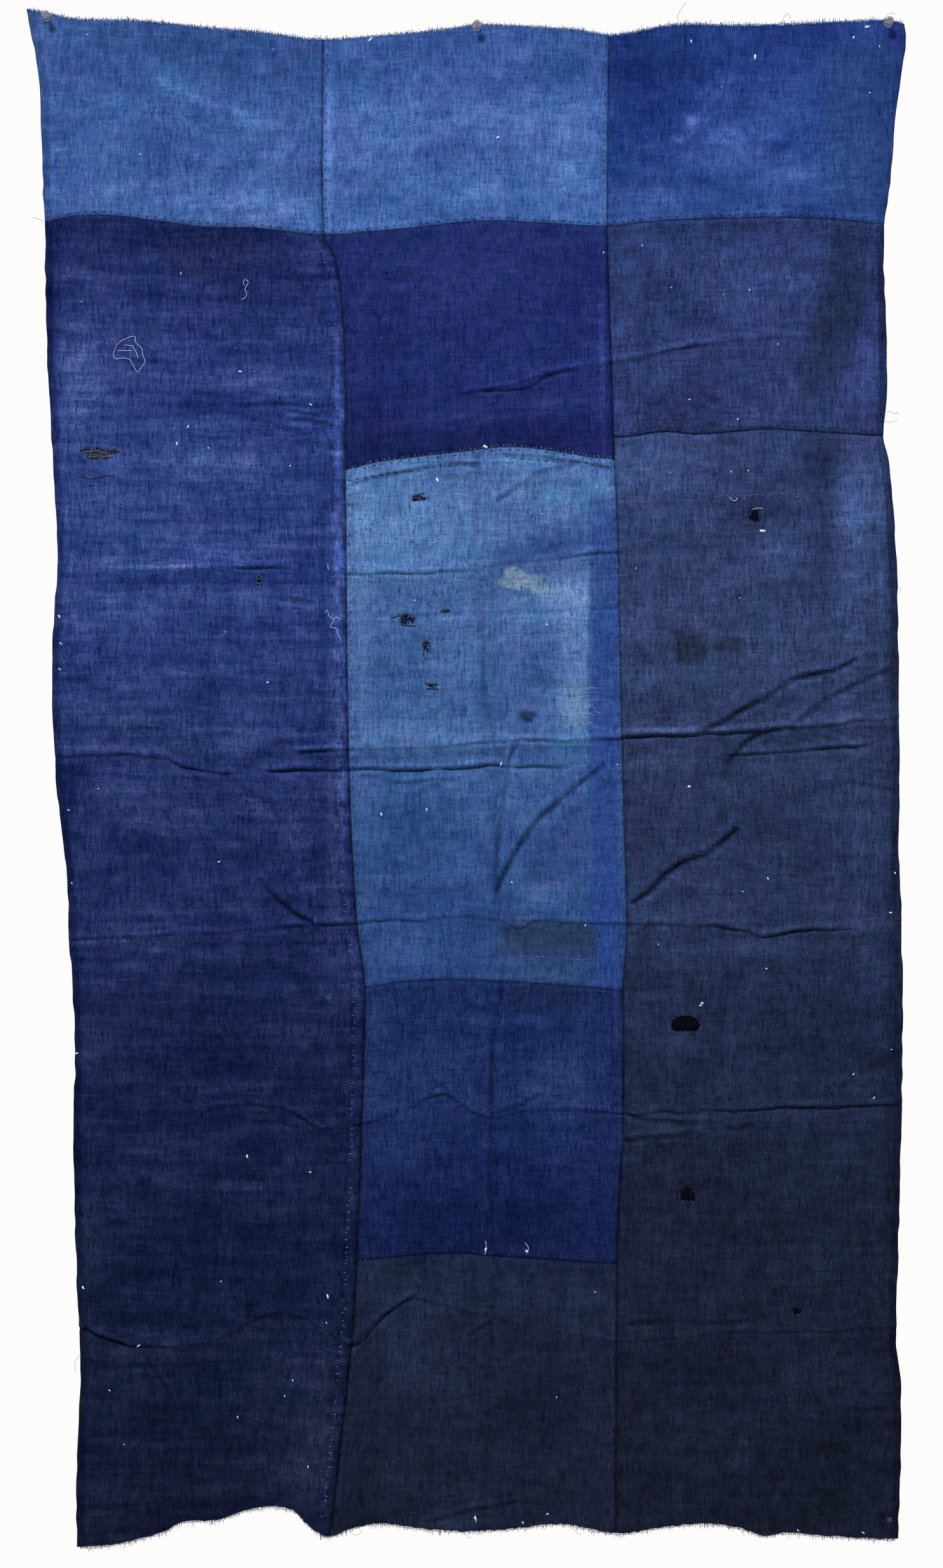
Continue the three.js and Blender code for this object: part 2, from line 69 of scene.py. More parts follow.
SEAM_GAP = 0.0003
SEAM_DIP = 0.0012
SEAM_DIP_WIDTH = 0.0022
ALLOWANCE_WIDTH = 0.009
ALLOWANCE_RAISE = 0.0004
ALLOWANCE_SLOPE = 0.003
PUCKER_HEIGHT = 0.0006
PUCKER_LENGTH = 0.012
PUCKER_REACH = 0.009
HEM_ROLL_WIDTH = 0.0095
HEM_ROLL_RAISE = 0.0008
HEM_ROLL_DIP = 0.0006
HEM_ROLL_SLOPE = 0.003
HEM_DIP_WIDTH = 0.0018
HEM_RIPPLE = 0.0008
EDGE_WOBBLE = 0.0011
BORDER_WIDTH = 0.0145
BORDER_REACH = 0.03
BORDER_DIP = 0.0008
BORDER_DIP_WIDTH = 0.0022

BACKING_GAP = 0.0003
BACKING_TACK = 0.005

THREAD_RADIUS = 0.00032
FRAY_RADIUS = 0.00024

# The view: how far the eye stands, and how much of the sheet's plane the picture takes in

IMAGE_HEIGHT = 2468
METRES_PER_PIXEL = 0.00073
EYE_DISTANCE = 2.7
EYE_X = -0.006
EYE_Z = -0.869

FLOOR_Z = -2.2
FLOOR_RADIUS = 1.2

# Tables inside in_metres are typed in millimetres, and marks read off the photo in its pixels.
# All other sizes and places are in metres

MILLIMETRES_PER_METRE = 1000
ORIGIN_PIXEL_X = 750
ORIGIN_PIXEL_Y = 43
NARROWEST_PINCH = 2.3


def in_metres(value):
    """A table in millimetres, in metres. Names and flags stay as they are."""
    if isinstance(value, dict):
        return {key: in_metres(item) for key, item in value.items()}
    if isinstance(value, (list, tuple)):
        return type(value)(in_metres(item) for item in value)
    if isinstance(value, (int, float)) and not isinstance(value, bool):
        return value / MILLIMETRES_PER_METRE
    return value


def photo_span(pixels):
    """A length in the photo as a length on the sheet, to a tenth of a millimetre."""
    return round(pixels * METRES_PER_PIXEL, 4)


def photo_place(pixel_x, pixel_y):
    """The place on the sheet that a pixel of the photo shows."""
    return photo_span(pixel_x - ORIGIN_PIXEL_X), photo_span(ORIGIN_PIXEL_Y - pixel_y)


def photo_lines(lines):
    """Named lines in pixels of the photo, as lines on the sheet."""
    return [(name, [photo_place(*point) for point in points]) for name, points in lines]


# Upright lines of the sheet, each row [height z, place x]

UPRIGHTS = in_metres({
    "leftEdge": [
        (21, -517), (-4, -512), (-57, -503), (-131, -499), (-223, -495), (-372, -492),
        (-545, -483), (-614, -480), (-726, -486), (-853, -483), (-947, -472), (-1045, -466),
        (-1172, -460), (-1263, -462), (-1424, -458), (-1517, -453), (-1656, -457), (-1741, -456),
    ],
    "leftSeam": [
        (-12, -176), (-240, -175), (-265, -163), (-300, -156), (-377, -151), (-509, -150),
        (-851, -146), (-1028, -137), (-1102, -128), (-1250, -131), (-1414, -137), (-1502, -142),
        (-1728, -166),
    ],
    "middleFold": [
        (3, 0), (-240, 0), (-505, 1), (-626, 4), (-783, 11), (-837, 26), (-923, 21),
        (-1064, 27), (-1155, 20), (-1410, 20), (-1728, 5),
    ],
    "rightSeam": [
        (-9, 152), (-230, 150), (-496, 158), (-604, 162), (-809, 166), (-918, 169),
        (-1029, 172), (-1107, 168), (-1245, 168), (-1418, 161), (-1725, 159),
    ],
    "rightEdge": [
        (4, 491), (-13, 493), (-105, 480), (-193, 472), (-230, 466), (-408, 470), (-471, 466),
        (-503, 472), (-631, 481), (-771, 483), (-872, 484), (-961, 483), (-1039, 487),
        (-1210, 487), (-1386, 483), (-1500, 480), (-1553, 485), (-1668, 484), (-1732, 481),
    ],
})

LEVELS = in_metres({
    "topEdge": {
        "line": [
            (-517, 21), (-492, 16), (-466, 10), (-385, 7), (-315, 0), (-245, -6), (-183, -14),
            (-122, -11), (-78, -7), (-27, -1), (0, 3), (88, -1), (114, -3), (152, -9), (183, -5),
            (228, 3), (300, 2), (369, 4), (469, 8), (491, 4),
        ],
    },
    "rowSeam": {
        "line": [
            (-496, -226), (-460, -219), (-418, -218), (-365, -224), (-314, -231), (-256, -232),
            (-175, -240), (-117, -236), (-53, -230), (4, -224), (63, -226), (151, -230),
            (196, -225), (253, -222), (345, -220), (420, -223), (466, -230),
        ],
    },
    "foldOne": {
        "line": [
            (-492, -428), (-300, -428), (-210, -444), (-150, -438), (-7, -420), (55, -415),
            (88, -400), (139, -392), (208, -376), (258, -367), (320, -360), (383, -358),
            (470, -358),
        ],
        "crest": [(-240, 0), (-200, 2), (-170, 0), (-30, 0), (55, 3), (208, 3), (320, 2.5), (383, 0)],
        "above": 24,
        "below": 12,
    },
    "rightCrossSeam": {
        "line": [
            (-488, -478), (-150, -478), (0, -462), (100, -458), (158, -472), (215, -466),
            (253, -469), (295, -466), (332, -463), (385, -466), (466, -471),
        ],
    },
    "navySeam": {
        "line": [
            (-484, -520), (-300, -520), (-150, -509), (-112, -500), (-14, -488), (37, -483),
            (88, -488), (142, -496), (300, -500), (470, -505),
        ],
    },
    "foldTwo": {
        "line": [
            (-481, -622), (-196, -622), (-150, -627), (-4, -624), (20, -617), (99, -610),
            (146, -603), (310, -612), (481, -625),
        ],
        "crest": [(-475, 2), (-300, 3), (-196, 2), (-150, 3), (20, 3.5), (150, 3.5), (180, 0)],
        "above": 26,
        "below": 14,
    },
    "foldThreeUpper": {
        "line": [
            (-483, -812), (-355, -815), (-285, -830), (-146, -829), (-50, -826), (12, -821),
            (166, -815), (248, -811), (307, -808), (379, -802), (483, -793),
        ],
        "crest": [(-170, 0), (-130, 3.5), (80, 3.5), (170, 5), (400, 5.5), (485, 4)],
        "above": 30,
        "below": 12,
    },
    "foldThreeLower": {
        "line": [
            (-483, -838), (-430, -835), (-355, -839), (-339, -849), (-285, -855), (-146, -851),
            (-39, -852), (18, -847), (96, -849), (166, -842), (300, -835), (483, -820),
        ],
        "crest": [(-483, -3), (-300, -4.5), (-146, -4), (-39, -3.5), (96, -2.5), (140, 0)],
        "above": 14,
        "below": 26,
    },
    "foldFour": {
        "line": [
            (-466, -1047), (-370, -1042), (-280, -1035), (-199, -1030), (-70, -1024), (20, -1022),
            (48, -1034), (69, -1026), (171, -1029), (277, -1031), (310, -1036), (326, -1044),
            (372, -1036), (487, -1034),
        ],
        "crest": [(-466, 2), (-280, 3), (20, 2), (200, 2.5), (404, 3), (487, 1)],
        "above": 22,
        "below": 12,
    },
    "lightSeam": {
        "line": [
            (-463, -1105), (-300, -1105), (-128, -1102), (-80, -1095), (-29, -1093), (28, -1095),
            (132, -1102), (168, -1106), (487, -1100),
        ],
    },
    "foldFive": {
        "line": [
            (-462, -1243), (-328, -1242), (-214, -1243), (-178, -1262), (-140, -1259), (-90, -1245),
            (-38, -1222), (-4, -1245), (19, -1249), (61, -1242), (168, -1245), (359, -1238),
            (487, -1234),
        ],
        "crest": [(-380, 0), (-328, 2), (-178, 3), (-90, 1), (-38, 3), (61, 3.5), (168, 4), (487, 4.5)],
        "above": 26,
        "below": 12,
    },
    "charcoalSeam": {
        "line": [
            (-458, -1415), (-300, -1412), (-137, -1414), (-38, -1407), (8, -1409), (84, -1414),
            (160, -1418), (300, -1408), (482, -1400),
        ],
    },
    "foldSix": {
        "line": [
            (-455, -1488), (-403, -1508), (-385, -1510), (-303, -1506), (-231, -1472),
            (-190, -1480), (-141, -1508), (-107, -1478), (-72, -1458), (20, -1480), (100, -1498),
            (160, -1505), (299, -1495), (382, -1495), (480, -1489),
        ],
        "crest": [(-455, 3), (-385, 4), (-231, 4), (-141, 2), (-72, 3), (20, 1), (160, 3), (480, 3.5)],
        "above": 24,
        "below": 14,
    },
    "hem": {
        "line": [
            (-456, -1741), (-410, -1737), (-357, -1726), (-339, -1716), (-296, -1713), (-267, -1703),
            (-231, -1697), (-207, -1699), (-196, -1708), (-171, -1722), (-146, -1717), (-114, -1715),
            (-69, -1721), (-11, -1724), (46, -1721), (99, -1717), (159, -1725), (203, -1721),
            (260, -1716), (299, -1719), (325, -1727), (352, -1725), (405, -1731), (481, -1732),
        ],
    },
})

SLANTED_CREASES = in_metres([
    {
        "line": [(145, -847), (125, -862), (89, -893), (69, -910), (45, -944), (23, -992)],
        "height": 5, "reach": 20,
    },
    {
        "line": [(265, -804), (314, -782), (356, -759), (404, -742), (456, -715)],
        "height": 4, "reach": 20,
    },
    {"line": [(-280, -860), (-227, -892), (-191, -934)], "height": 4, "reach": 20},
    {"line": [(180, -1004), (197, -993), (223, -967), (261, -951)], "height": 4.5, "reach": 18},
    {"line": [(163, -1485), (222, -1481), (347, -1449), (481, -1436)], "height": 3, "reach": 18},
])

SWELLS = in_metres([
    {"x": -400, "z": -330, "wide": 90, "tall": 80, "forward": 3},
    {"x": -250, "z": -560, "wide": 110, "tall": 110, "forward": 4},
    {"x": -430, "z": -720, "wide": 80, "tall": 90, "forward": 3},
    {"x": -230, "z": -960, "wide": 90, "tall": 80, "forward": 4},
    {"x": -390, "z": -1140, "wide": 90, "tall": 80, "forward": 3},
    {"x": -300, "z": -1370, "wide": 110, "tall": 90, "forward": 3},
    {"x": -30, "z": -320, "wide": 120, "tall": 70, "forward": 3},
    {"x": 80, "z": -550, "wide": 80, "tall": 60, "forward": 3},
    {"x": -60, "z": -740, "wide": 100, "tall": 80, "forward": 3},
    {"x": 90, "z": -970, "wide": 80, "tall": 70, "forward": 3},
    {"x": -60, "z": -1160, "wide": 90, "tall": 70, "forward": 2.5},
    {"x": 70, "z": -1330, "wide": 90, "tall": 80, "forward": 3},
    {"x": 260, "z": -420, "wide": 90, "tall": 60, "forward": 3},
    {"x": 400, "z": -640, "wide": 80, "tall": 110, "forward": 4},
    {"x": 260, "z": -900, "wide": 80, "tall": 60, "forward": 3},
    {"x": 420, "z": -940, "wide": 80, "tall": 80, "forward": 4},
    {"x": 300, "z": -1140, "wide": 110, "tall": 70, "forward": 3},
    {"x": 410, "z": -1330, "wide": 80, "tall": 80, "forward": 3},
])

HEM_WAVES = in_metres([
    {"x": -430, "wide": 55, "forward": 12, "reach": 380},
    {"x": -335, "wide": 35, "forward": -3, "reach": 220},
    {"x": -240, "wide": 40, "forward": -5, "reach": 300},
    {"x": -170, "wide": 42, "forward": 30, "reach": 430},
    {"x": -20, "wide": 70, "forward": 6, "reach": 260},
    {"x": 159, "wide": 55, "forward": 8, "reach": 300},
    {"x": 325, "wide": 50, "forward": 12, "reach": 320},
    {"x": 472, "wide": 45, "forward": 8, "reach": 360},
])

WORN_HOLES = in_metres([
    {"panel": "left_long", "x": -433, "z": -491, "width": 41, "height": 14},
    {"panel": "left_long", "x": -249, "z": -637, "width": 6, "height": 15},
    {"panel": "middle_light", "x": -67, "z": -542, "width": 19, "height": 7},
    {"panel": "middle_light", "x": -80, "z": -681, "width": 19, "height": 12},
    {"panel": "middle_light", "x": -58, "z": -711, "width": 8, "height": 16},
    {"panel": "middle_light", "x": -51, "z": -757, "width": 12, "height": 6},
    {"panel": "right_long", "x": 318, "z": -563, "width": 11, "height": 14},
    {"panel": "right_long", "x": 239, "z": -1145, "width": 32, "height": 21, "arched": True},
    {"panel": "right_long", "x": 242, "z": -1340, "width": 18, "height": 15},
    {"panel": "right_long", "x": 366, "z": -1472, "width": 11, "height": 9},
])

BACKINGS = in_metres([
    {"name": "backing_left_brown", "panel": "left_long", "x": -433, "z": -502, "width": 84, "height": 62},
    {"name": "backing_left_slot", "panel": "left_long", "x": -249, "z": -637, "width": 44, "height": 48},
    {"name": "backing_light", "panel": "middle_light", "x": -66, "z": -650, "width": 92, "height": 260},
    {"name": "backing_right_mend", "panel": "right_long", "x": 318, "z": -558, "width": 104, "height": 46},
    {"name": "backing_right_arch", "panel": "right_long", "x": 239, "z": -1145, "width": 76, "height": 56},
    {"name": "backing_right_low", "panel": "right_long", "x": 242, "z": -1340, "width": 60, "height": 52},
    {"name": "backing_right_small", "panel": "right_long", "x": 366, "z": -1472, "width": 46, "height": 42},
])

PINS = in_metres([
    {"side": "left", "panel": "top_left", "x": -493, "z": 11},
    {"side": "middle", "panel": "top_middle", "x": 0, "z": 0},
    {"side": "right", "panel": "top_right", "x": 472, "z": 4},
])

# Tight pinches along the level folds: place x and how deep the groove under the crest is

PINCHES = {
    "foldOne": [(-0.03, 0.0), (0.0, 0.0012), (0.14, 0.0012), (0.21, 0.0018), (0.34, 0.001), (0.4, 0.0)],
    "foldTwo": [
        (-0.29, 0.0), (-0.27, 0.0016), (-0.22, 0.0014), (-0.2, 0.0004), (-0.15, 0.0012), (-0.04, 0.001),
        (0.0, 0.0002), (0.02, 0.0006), (0.15, 0.001), (0.17, 0.0),
    ],
    "foldThreeUpper": [
        (-0.21, 0.0), (-0.19, 0.001), (-0.15, 0.001), (-0.13, 0.0003), (-0.03, 0.0007), (0.04, 0.001),
        (0.16, 0.0014), (0.185, 0.003), (0.3, 0.0028), (0.34, 0.0014), (0.48, 0.0009),
    ],
    "foldThreeLower": [
        (-0.48, 0.0008), (-0.36, 0.001), (-0.34, 0.0028), (-0.285, 0.0028), (-0.27, 0.0006),
        (-0.25, 0.0006), (-0.235, 0.0028), (-0.11, 0.0024), (-0.04, 0.0028), (0.025, 0.0024),
        (0.035, 0.0006), (0.05, 0.002), (0.09, 0.0018), (0.11, 0.0), (0.27, 0.0), (0.3, 0.0018),
        (0.43, 0.0018), (0.46, 0.0),
    ],
    "foldFour": [
        (-0.46, 0.0004), (-0.2, 0.0005), (-0.15, 0.0016), (-0.13, 0.0012), (0.02, 0.0004),
        (0.05, 0.0014), (0.12, 0.0012), (0.17, 0.0012), (0.21, 0.0014), (0.25, 0.0003), (0.28, 0.0016),
        (0.31, 0.0028), (0.36, 0.0026), (0.41, 0.001), (0.45, 0.0),
    ],
    "foldFive": [
        (-0.34, 0.0), (-0.3, 0.0006), (-0.22, 0.0006), (-0.19, 0.0018), (-0.14, 0.0016), (-0.1, 0.0002),
        (-0.04, 0.0014), (0.06, 0.001), (0.16, 0.001), (0.175, 0.0016), (0.487, 0.0018),
    ],
    "foldSix": [
        (-0.45, 0.0018), (-0.39, 0.002), (-0.34, 0.0008), (-0.23, 0.0006), (-0.17, 0.0006),
        (-0.14, 0.0014), (-0.07, 0.0012), (0.0, 0.0003), (0.16, 0.0006), (0.48, 0.001),
    ],
}

# Smaller creases: name, points along the line in pixels of the photo, then in millimetres the
# height, the reach of its slopes, and the depth and width of the groove pinched along it

PHOTO_CREASES = [
    ("light border left", [
        (556, 764), (600, 750), (657, 740), (702, 733), (752, 734),
    ], 0.9, 8, 2.2, 2.2),
    ("light border right", [(794, 716), (864, 725), (906, 728), (958, 738)], 0.9, 8, 1.8, 2.2),
    ("left worn crease one", [(396, 664), (436, 668), (476, 664), (520, 672)], 0.8, 8, 1.6, 2.4),
    ("left worn crease two", [(412, 686), (452, 690), (486, 686)], 0.8, 8, 1.4, 2.4),
    ("left worn crease three", [(380, 640), (424, 636), (458, 640)], 0.8, 8, 1.2, 2.4),
    ("row seam pucker", [(150, 372), (200, 384), (262, 392)], 0.8, 10, 0.6, 3.0),
    ("upper right wrinkle", [(968, 654), (1002, 648), (1040, 636)], 1.5, 10, 1.4, 2.0),
    ("upper right drag", [(1076, 652), (1105, 640), (1134, 626), (1256, 590)], 2.2, 14, 1.4, 2.4),
    ("navy drag", [(760, 618), (812, 608), (880, 588), (960, 574)], 1.8, 14, 1.4, 2.2),
    ("left pucker one", [(437, 673), (472, 682)], 1.2, 8, 2.0, 1.8),
    ("left pucker two", [(446, 649), (500, 656)], 1.2, 8, 1.6, 1.8),
    ("left tuck", [(442, 944), (493, 949)], 1.2, 8, 1.4, 1.8),
    ("left tuck low", [(471, 1186), (525, 1179)], 1.6, 8, 1.6, 2.0),
    ("left upright fold", [(493, 1072), (482, 1110), (474, 1174)], 2.0, 14, 1.4, 2.6),
    ("left slant", [(356, 1210), (374, 1224), (420, 1252), (468, 1290), (492, 1338)], 4.6, 8, 0.0, 2.0),
    ("left slant shade", [(392, 1246), (436, 1278), (470, 1318)], -1.2, 9, 0.6, 4.0),
    ("left faint slant", [(172, 1272), (192, 1292), (220, 1316)], 1.4, 7, 0.0, 2.0),
    ("left lower tuck", [
        (412, 1384), (427, 1400), (446, 1421), (474, 1442), (492, 1450),
    ], 1.4, 9, 4.0, 2.8),
    ("left lower nick", [(486, 1398), (494, 1425), (490, 1445)], 1.6, 8, 0.8, 2.2),
    ("left foot drag", [(227, 2121), (258, 2172), (296, 2234)], 2.4, 14, 1.6, 2.6),
    ("left foot fold", [(139, 2082), (165, 2098), (198, 2109)], 1.6, 12, 2.4, 2.6),
    ("left low waves", [
        (332, 1742), (392, 1735), (450, 1742), (482, 1760), (506, 1776),
    ], 2.0, 12, 1.9, 2.4),
    ("left low waves two", [
        (400, 1762), (452, 1768), (506, 1777), (530, 1770), (556, 1762),
    ], 1.4, 10, 1.5, 2.4),
    ("left low long fold", [
        (112, 1478), (200, 1474), (300, 1470), (400, 1462), (478, 1456),
    ], 0.8, 10, 0.6, 2.3),
    ("right low wrinkle", [(990, 1752), (1032, 1761), (1076, 1760)], 1.4, 8, 1.9, 2.3),
    ("right low wrinkle two", [(984, 1792), (1030, 1786), (1094, 1778)], 1.2, 8, 1.5, 2.3),
    ("right low wrinkle three", [(1104, 1772), (1140, 1776), (1184, 1766)], 1.0, 8, 1.3, 2.3),
    ("right low fold", [(1226, 2026), (1290, 2018), (1400, 2010)], 1.0, 10, 1.3, 2.4),
    ("right foot fold", [(990, 2076), (1060, 2074), (1150, 2078), (1200, 2066)], 1.0, 10, 1.1, 2.4),
    ("light upper drag", [(784, 788), (846, 748), (906, 730)], 2.0, 10, 2.6, 2.6),
    ("light upper drag two", [(854, 812), (876, 776), (897, 748)], 1.0, 10, 0.6, 2.0),
    ("light lower valley", [(545, 968), (754, 966), (970, 957)], -1.6, 12, 0.4, 2.6),
    ("light under tuck", [(570, 1222), (640, 1232), (724, 1226)], 0.8, 7, 1.6, 2.0),
    ("light under slant", [(630, 1269), (682, 1234)], 1.0, 7, 1.4, 1.6),
    ("light nick", [(802, 1196), (810, 1171)], 1.2, 8, 2.2, 2.2),
    ("light upright", [
        (806, 1176), (799, 1220), (788, 1290), (780, 1360), (777, 1420),
    ], 0.8, 10, 1.3, 2.8),
    ("light upright low", [(798, 1462), (793, 1520), (786, 1600)], 0.6, 8, 1.0, 2.0),
    ("light long slant", [
        (949, 1203), (921, 1224), (872, 1266), (844, 1290), (812, 1336), (790, 1380), (781, 1402),
    ], 0.0, 12, 5.2, 2.9),
    ("light slant crest", [
        (958, 1222), (900, 1272), (856, 1320), (826, 1372), (806, 1402),
    ], 3.0, 10, 0.0, 3.0),
    ("charcoal slant", [(557, 2109), (604, 2067), (651, 2036)], 1.8, 14, 2.0, 2.8),
    ("charcoal nick", [(735, 2099), (771, 2078)], 1.4, 8, 1.6, 2.0),
    ("charcoal foot", [(672, 2390), (740, 2371), (813, 2357)], 2.2, 12, 1.6, 2.4),
    ("right slant", [
        (1104, 1150), (1130, 1140), (1165, 1118), (1206, 1096), (1240, 1072), (1312, 1054),
        (1344, 1038),
    ], 1.2, 14, 4.6, 3.0),
    ("right slant two", [(1250, 1136), (1300, 1100), (1345, 1076), (1396, 1056)], 1.6, 12, 3.0, 2.8),
    ("right short slant", [
        (1144, 1200), (1160, 1180), (1178, 1163), (1214, 1148), (1246, 1146),
    ], 2.5, 12, 4.6, 3.0),
    ("right edge drag", [(1336, 1226), (1372, 1236), (1410, 1246)], 1.2, 10, 1.2, 2.2),
    ("right faint slant", [(1270, 1145), (1310, 1166), (1350, 1180)], 1.0, 10, 0.7, 2.4),
    ("right lower slant", [
        (994, 1420), (1020, 1402), (1046, 1374), (1070, 1358), (1108, 1344), (1136, 1322),
        (1158, 1304),
    ], 0.0, 12, 4.8, 2.8),
    ("right lower crest", [(1020, 1424), (1062, 1388), (1100, 1370), (1150, 1334)], 1.8, 12, 0.0, 3.0),
    ("right hook", [(996, 1468), (1013, 1459), (1041, 1452)], 1.2, 8, 2.2, 2.4),
    ("right soft wave", [(1095, 947), (1152, 927)], 1.4, 12, 0.8, 2.4),
    ("right soft peak", [(1174, 929), (1198, 921), (1212, 929)], 1.4, 10, 0.8, 2.2),
    ("right soft drag", [(1180, 1262), (1146, 1316), (1130, 1330)], 1.4, 14, 0.6, 3.2),
    ("right under fold", [(999, 1756), (1072, 1763), (1134, 1763)], 1.6, 10, 1.4, 2.4),
    ("right under nick", [(1138, 1770), (1162, 1775), (1183, 1767)], 1.6, 9, 1.6, 2.2),
    ("right under line", [(985, 1789), (1103, 1782)], 1.2, 8, 0.6, 1.8),
    ("right foot line", [(992, 2078), (1054, 2072)], 1.0, 8, 1.2, 2.0),
    ("right foot tuck", [(1310, 2213), (1388, 2213)], 1.0, 8, 1.4, 2.0),
    ("mid upright", [(778, 1620), (773, 1700), (771, 1790), (768, 1940)], 0.8, 8, 1.2, 2.0),
    ("mid slant", [(775, 1752), (815, 1738), (848, 1722)], 1.2, 8, 1.8, 1.6),
    ("mid faint slant", [(640, 1660), (676, 1692), (700, 1712)], 1.0, 10, 0.6, 2.0),
    ("top left soft slant", [(420, 86), (392, 128), (352, 176)], 1.6, 18, 0.0, 3.0),
    ("top right soft slant", [(1158, 132), (1112, 182), (1080, 212)], 1.6, 10, 0.6, 2.0),
    ("top right low slant", [(1090, 240), (1190, 228), (1290, 196)], 1.6, 18, 0.0, 3.0),
    ("navy low drag", [(700, 672), (800, 648), (930, 640)], 1.2, 14, 0.6, 3.0),
]

CREASES = [
    (name, [photo_place(*point) for point in points])
    + in_metres((height, reach, pinch, max(width, NARROWEST_PINCH)))
    for name, points, height, reach, pinch, width in PHOTO_CREASES
]

# Faded and darker places in each panel's dye, and a few places of painted shade marked below: centre across
# and up, half width, half height, turn in degrees, and strength, from -1 for the deepest blue to 1 for the
# palest

FADES_IN_METRES = [
    ("top_right", [
        (0.2475, -0.1105, 0.008, 0.006, 30, 0.8), (0.2415, -0.125, 0.003, 0.013, -35, 0.6),
        (0.231, -0.1325, 0.007, 0.003, 10, 0.5), (0.274, -0.077, 0.03, 0.0035, 55, 0.4),
    ]),
    ("right_long", [
        (0.394, -0.55, 0.022, 0.1, 0, -0.42), (0.432, -0.6, 0.018, 0.09, 0, 0.3),
        (0.225, -0.5, 0.06, 0.03, 0, 0.15),
    ]),
    ("left_long", [
        (-0.176, -1.6, 0.022, 0.15, 0, 0.5), (-0.274, -1.497, 0.07, 0.011, 3, 0.4),
        (-0.398, -1.597, 0.03, 0.07, 0, 0.25), (-0.22, -1.66, 0.03, 0.05, 0, 0.3),
    ]),
]

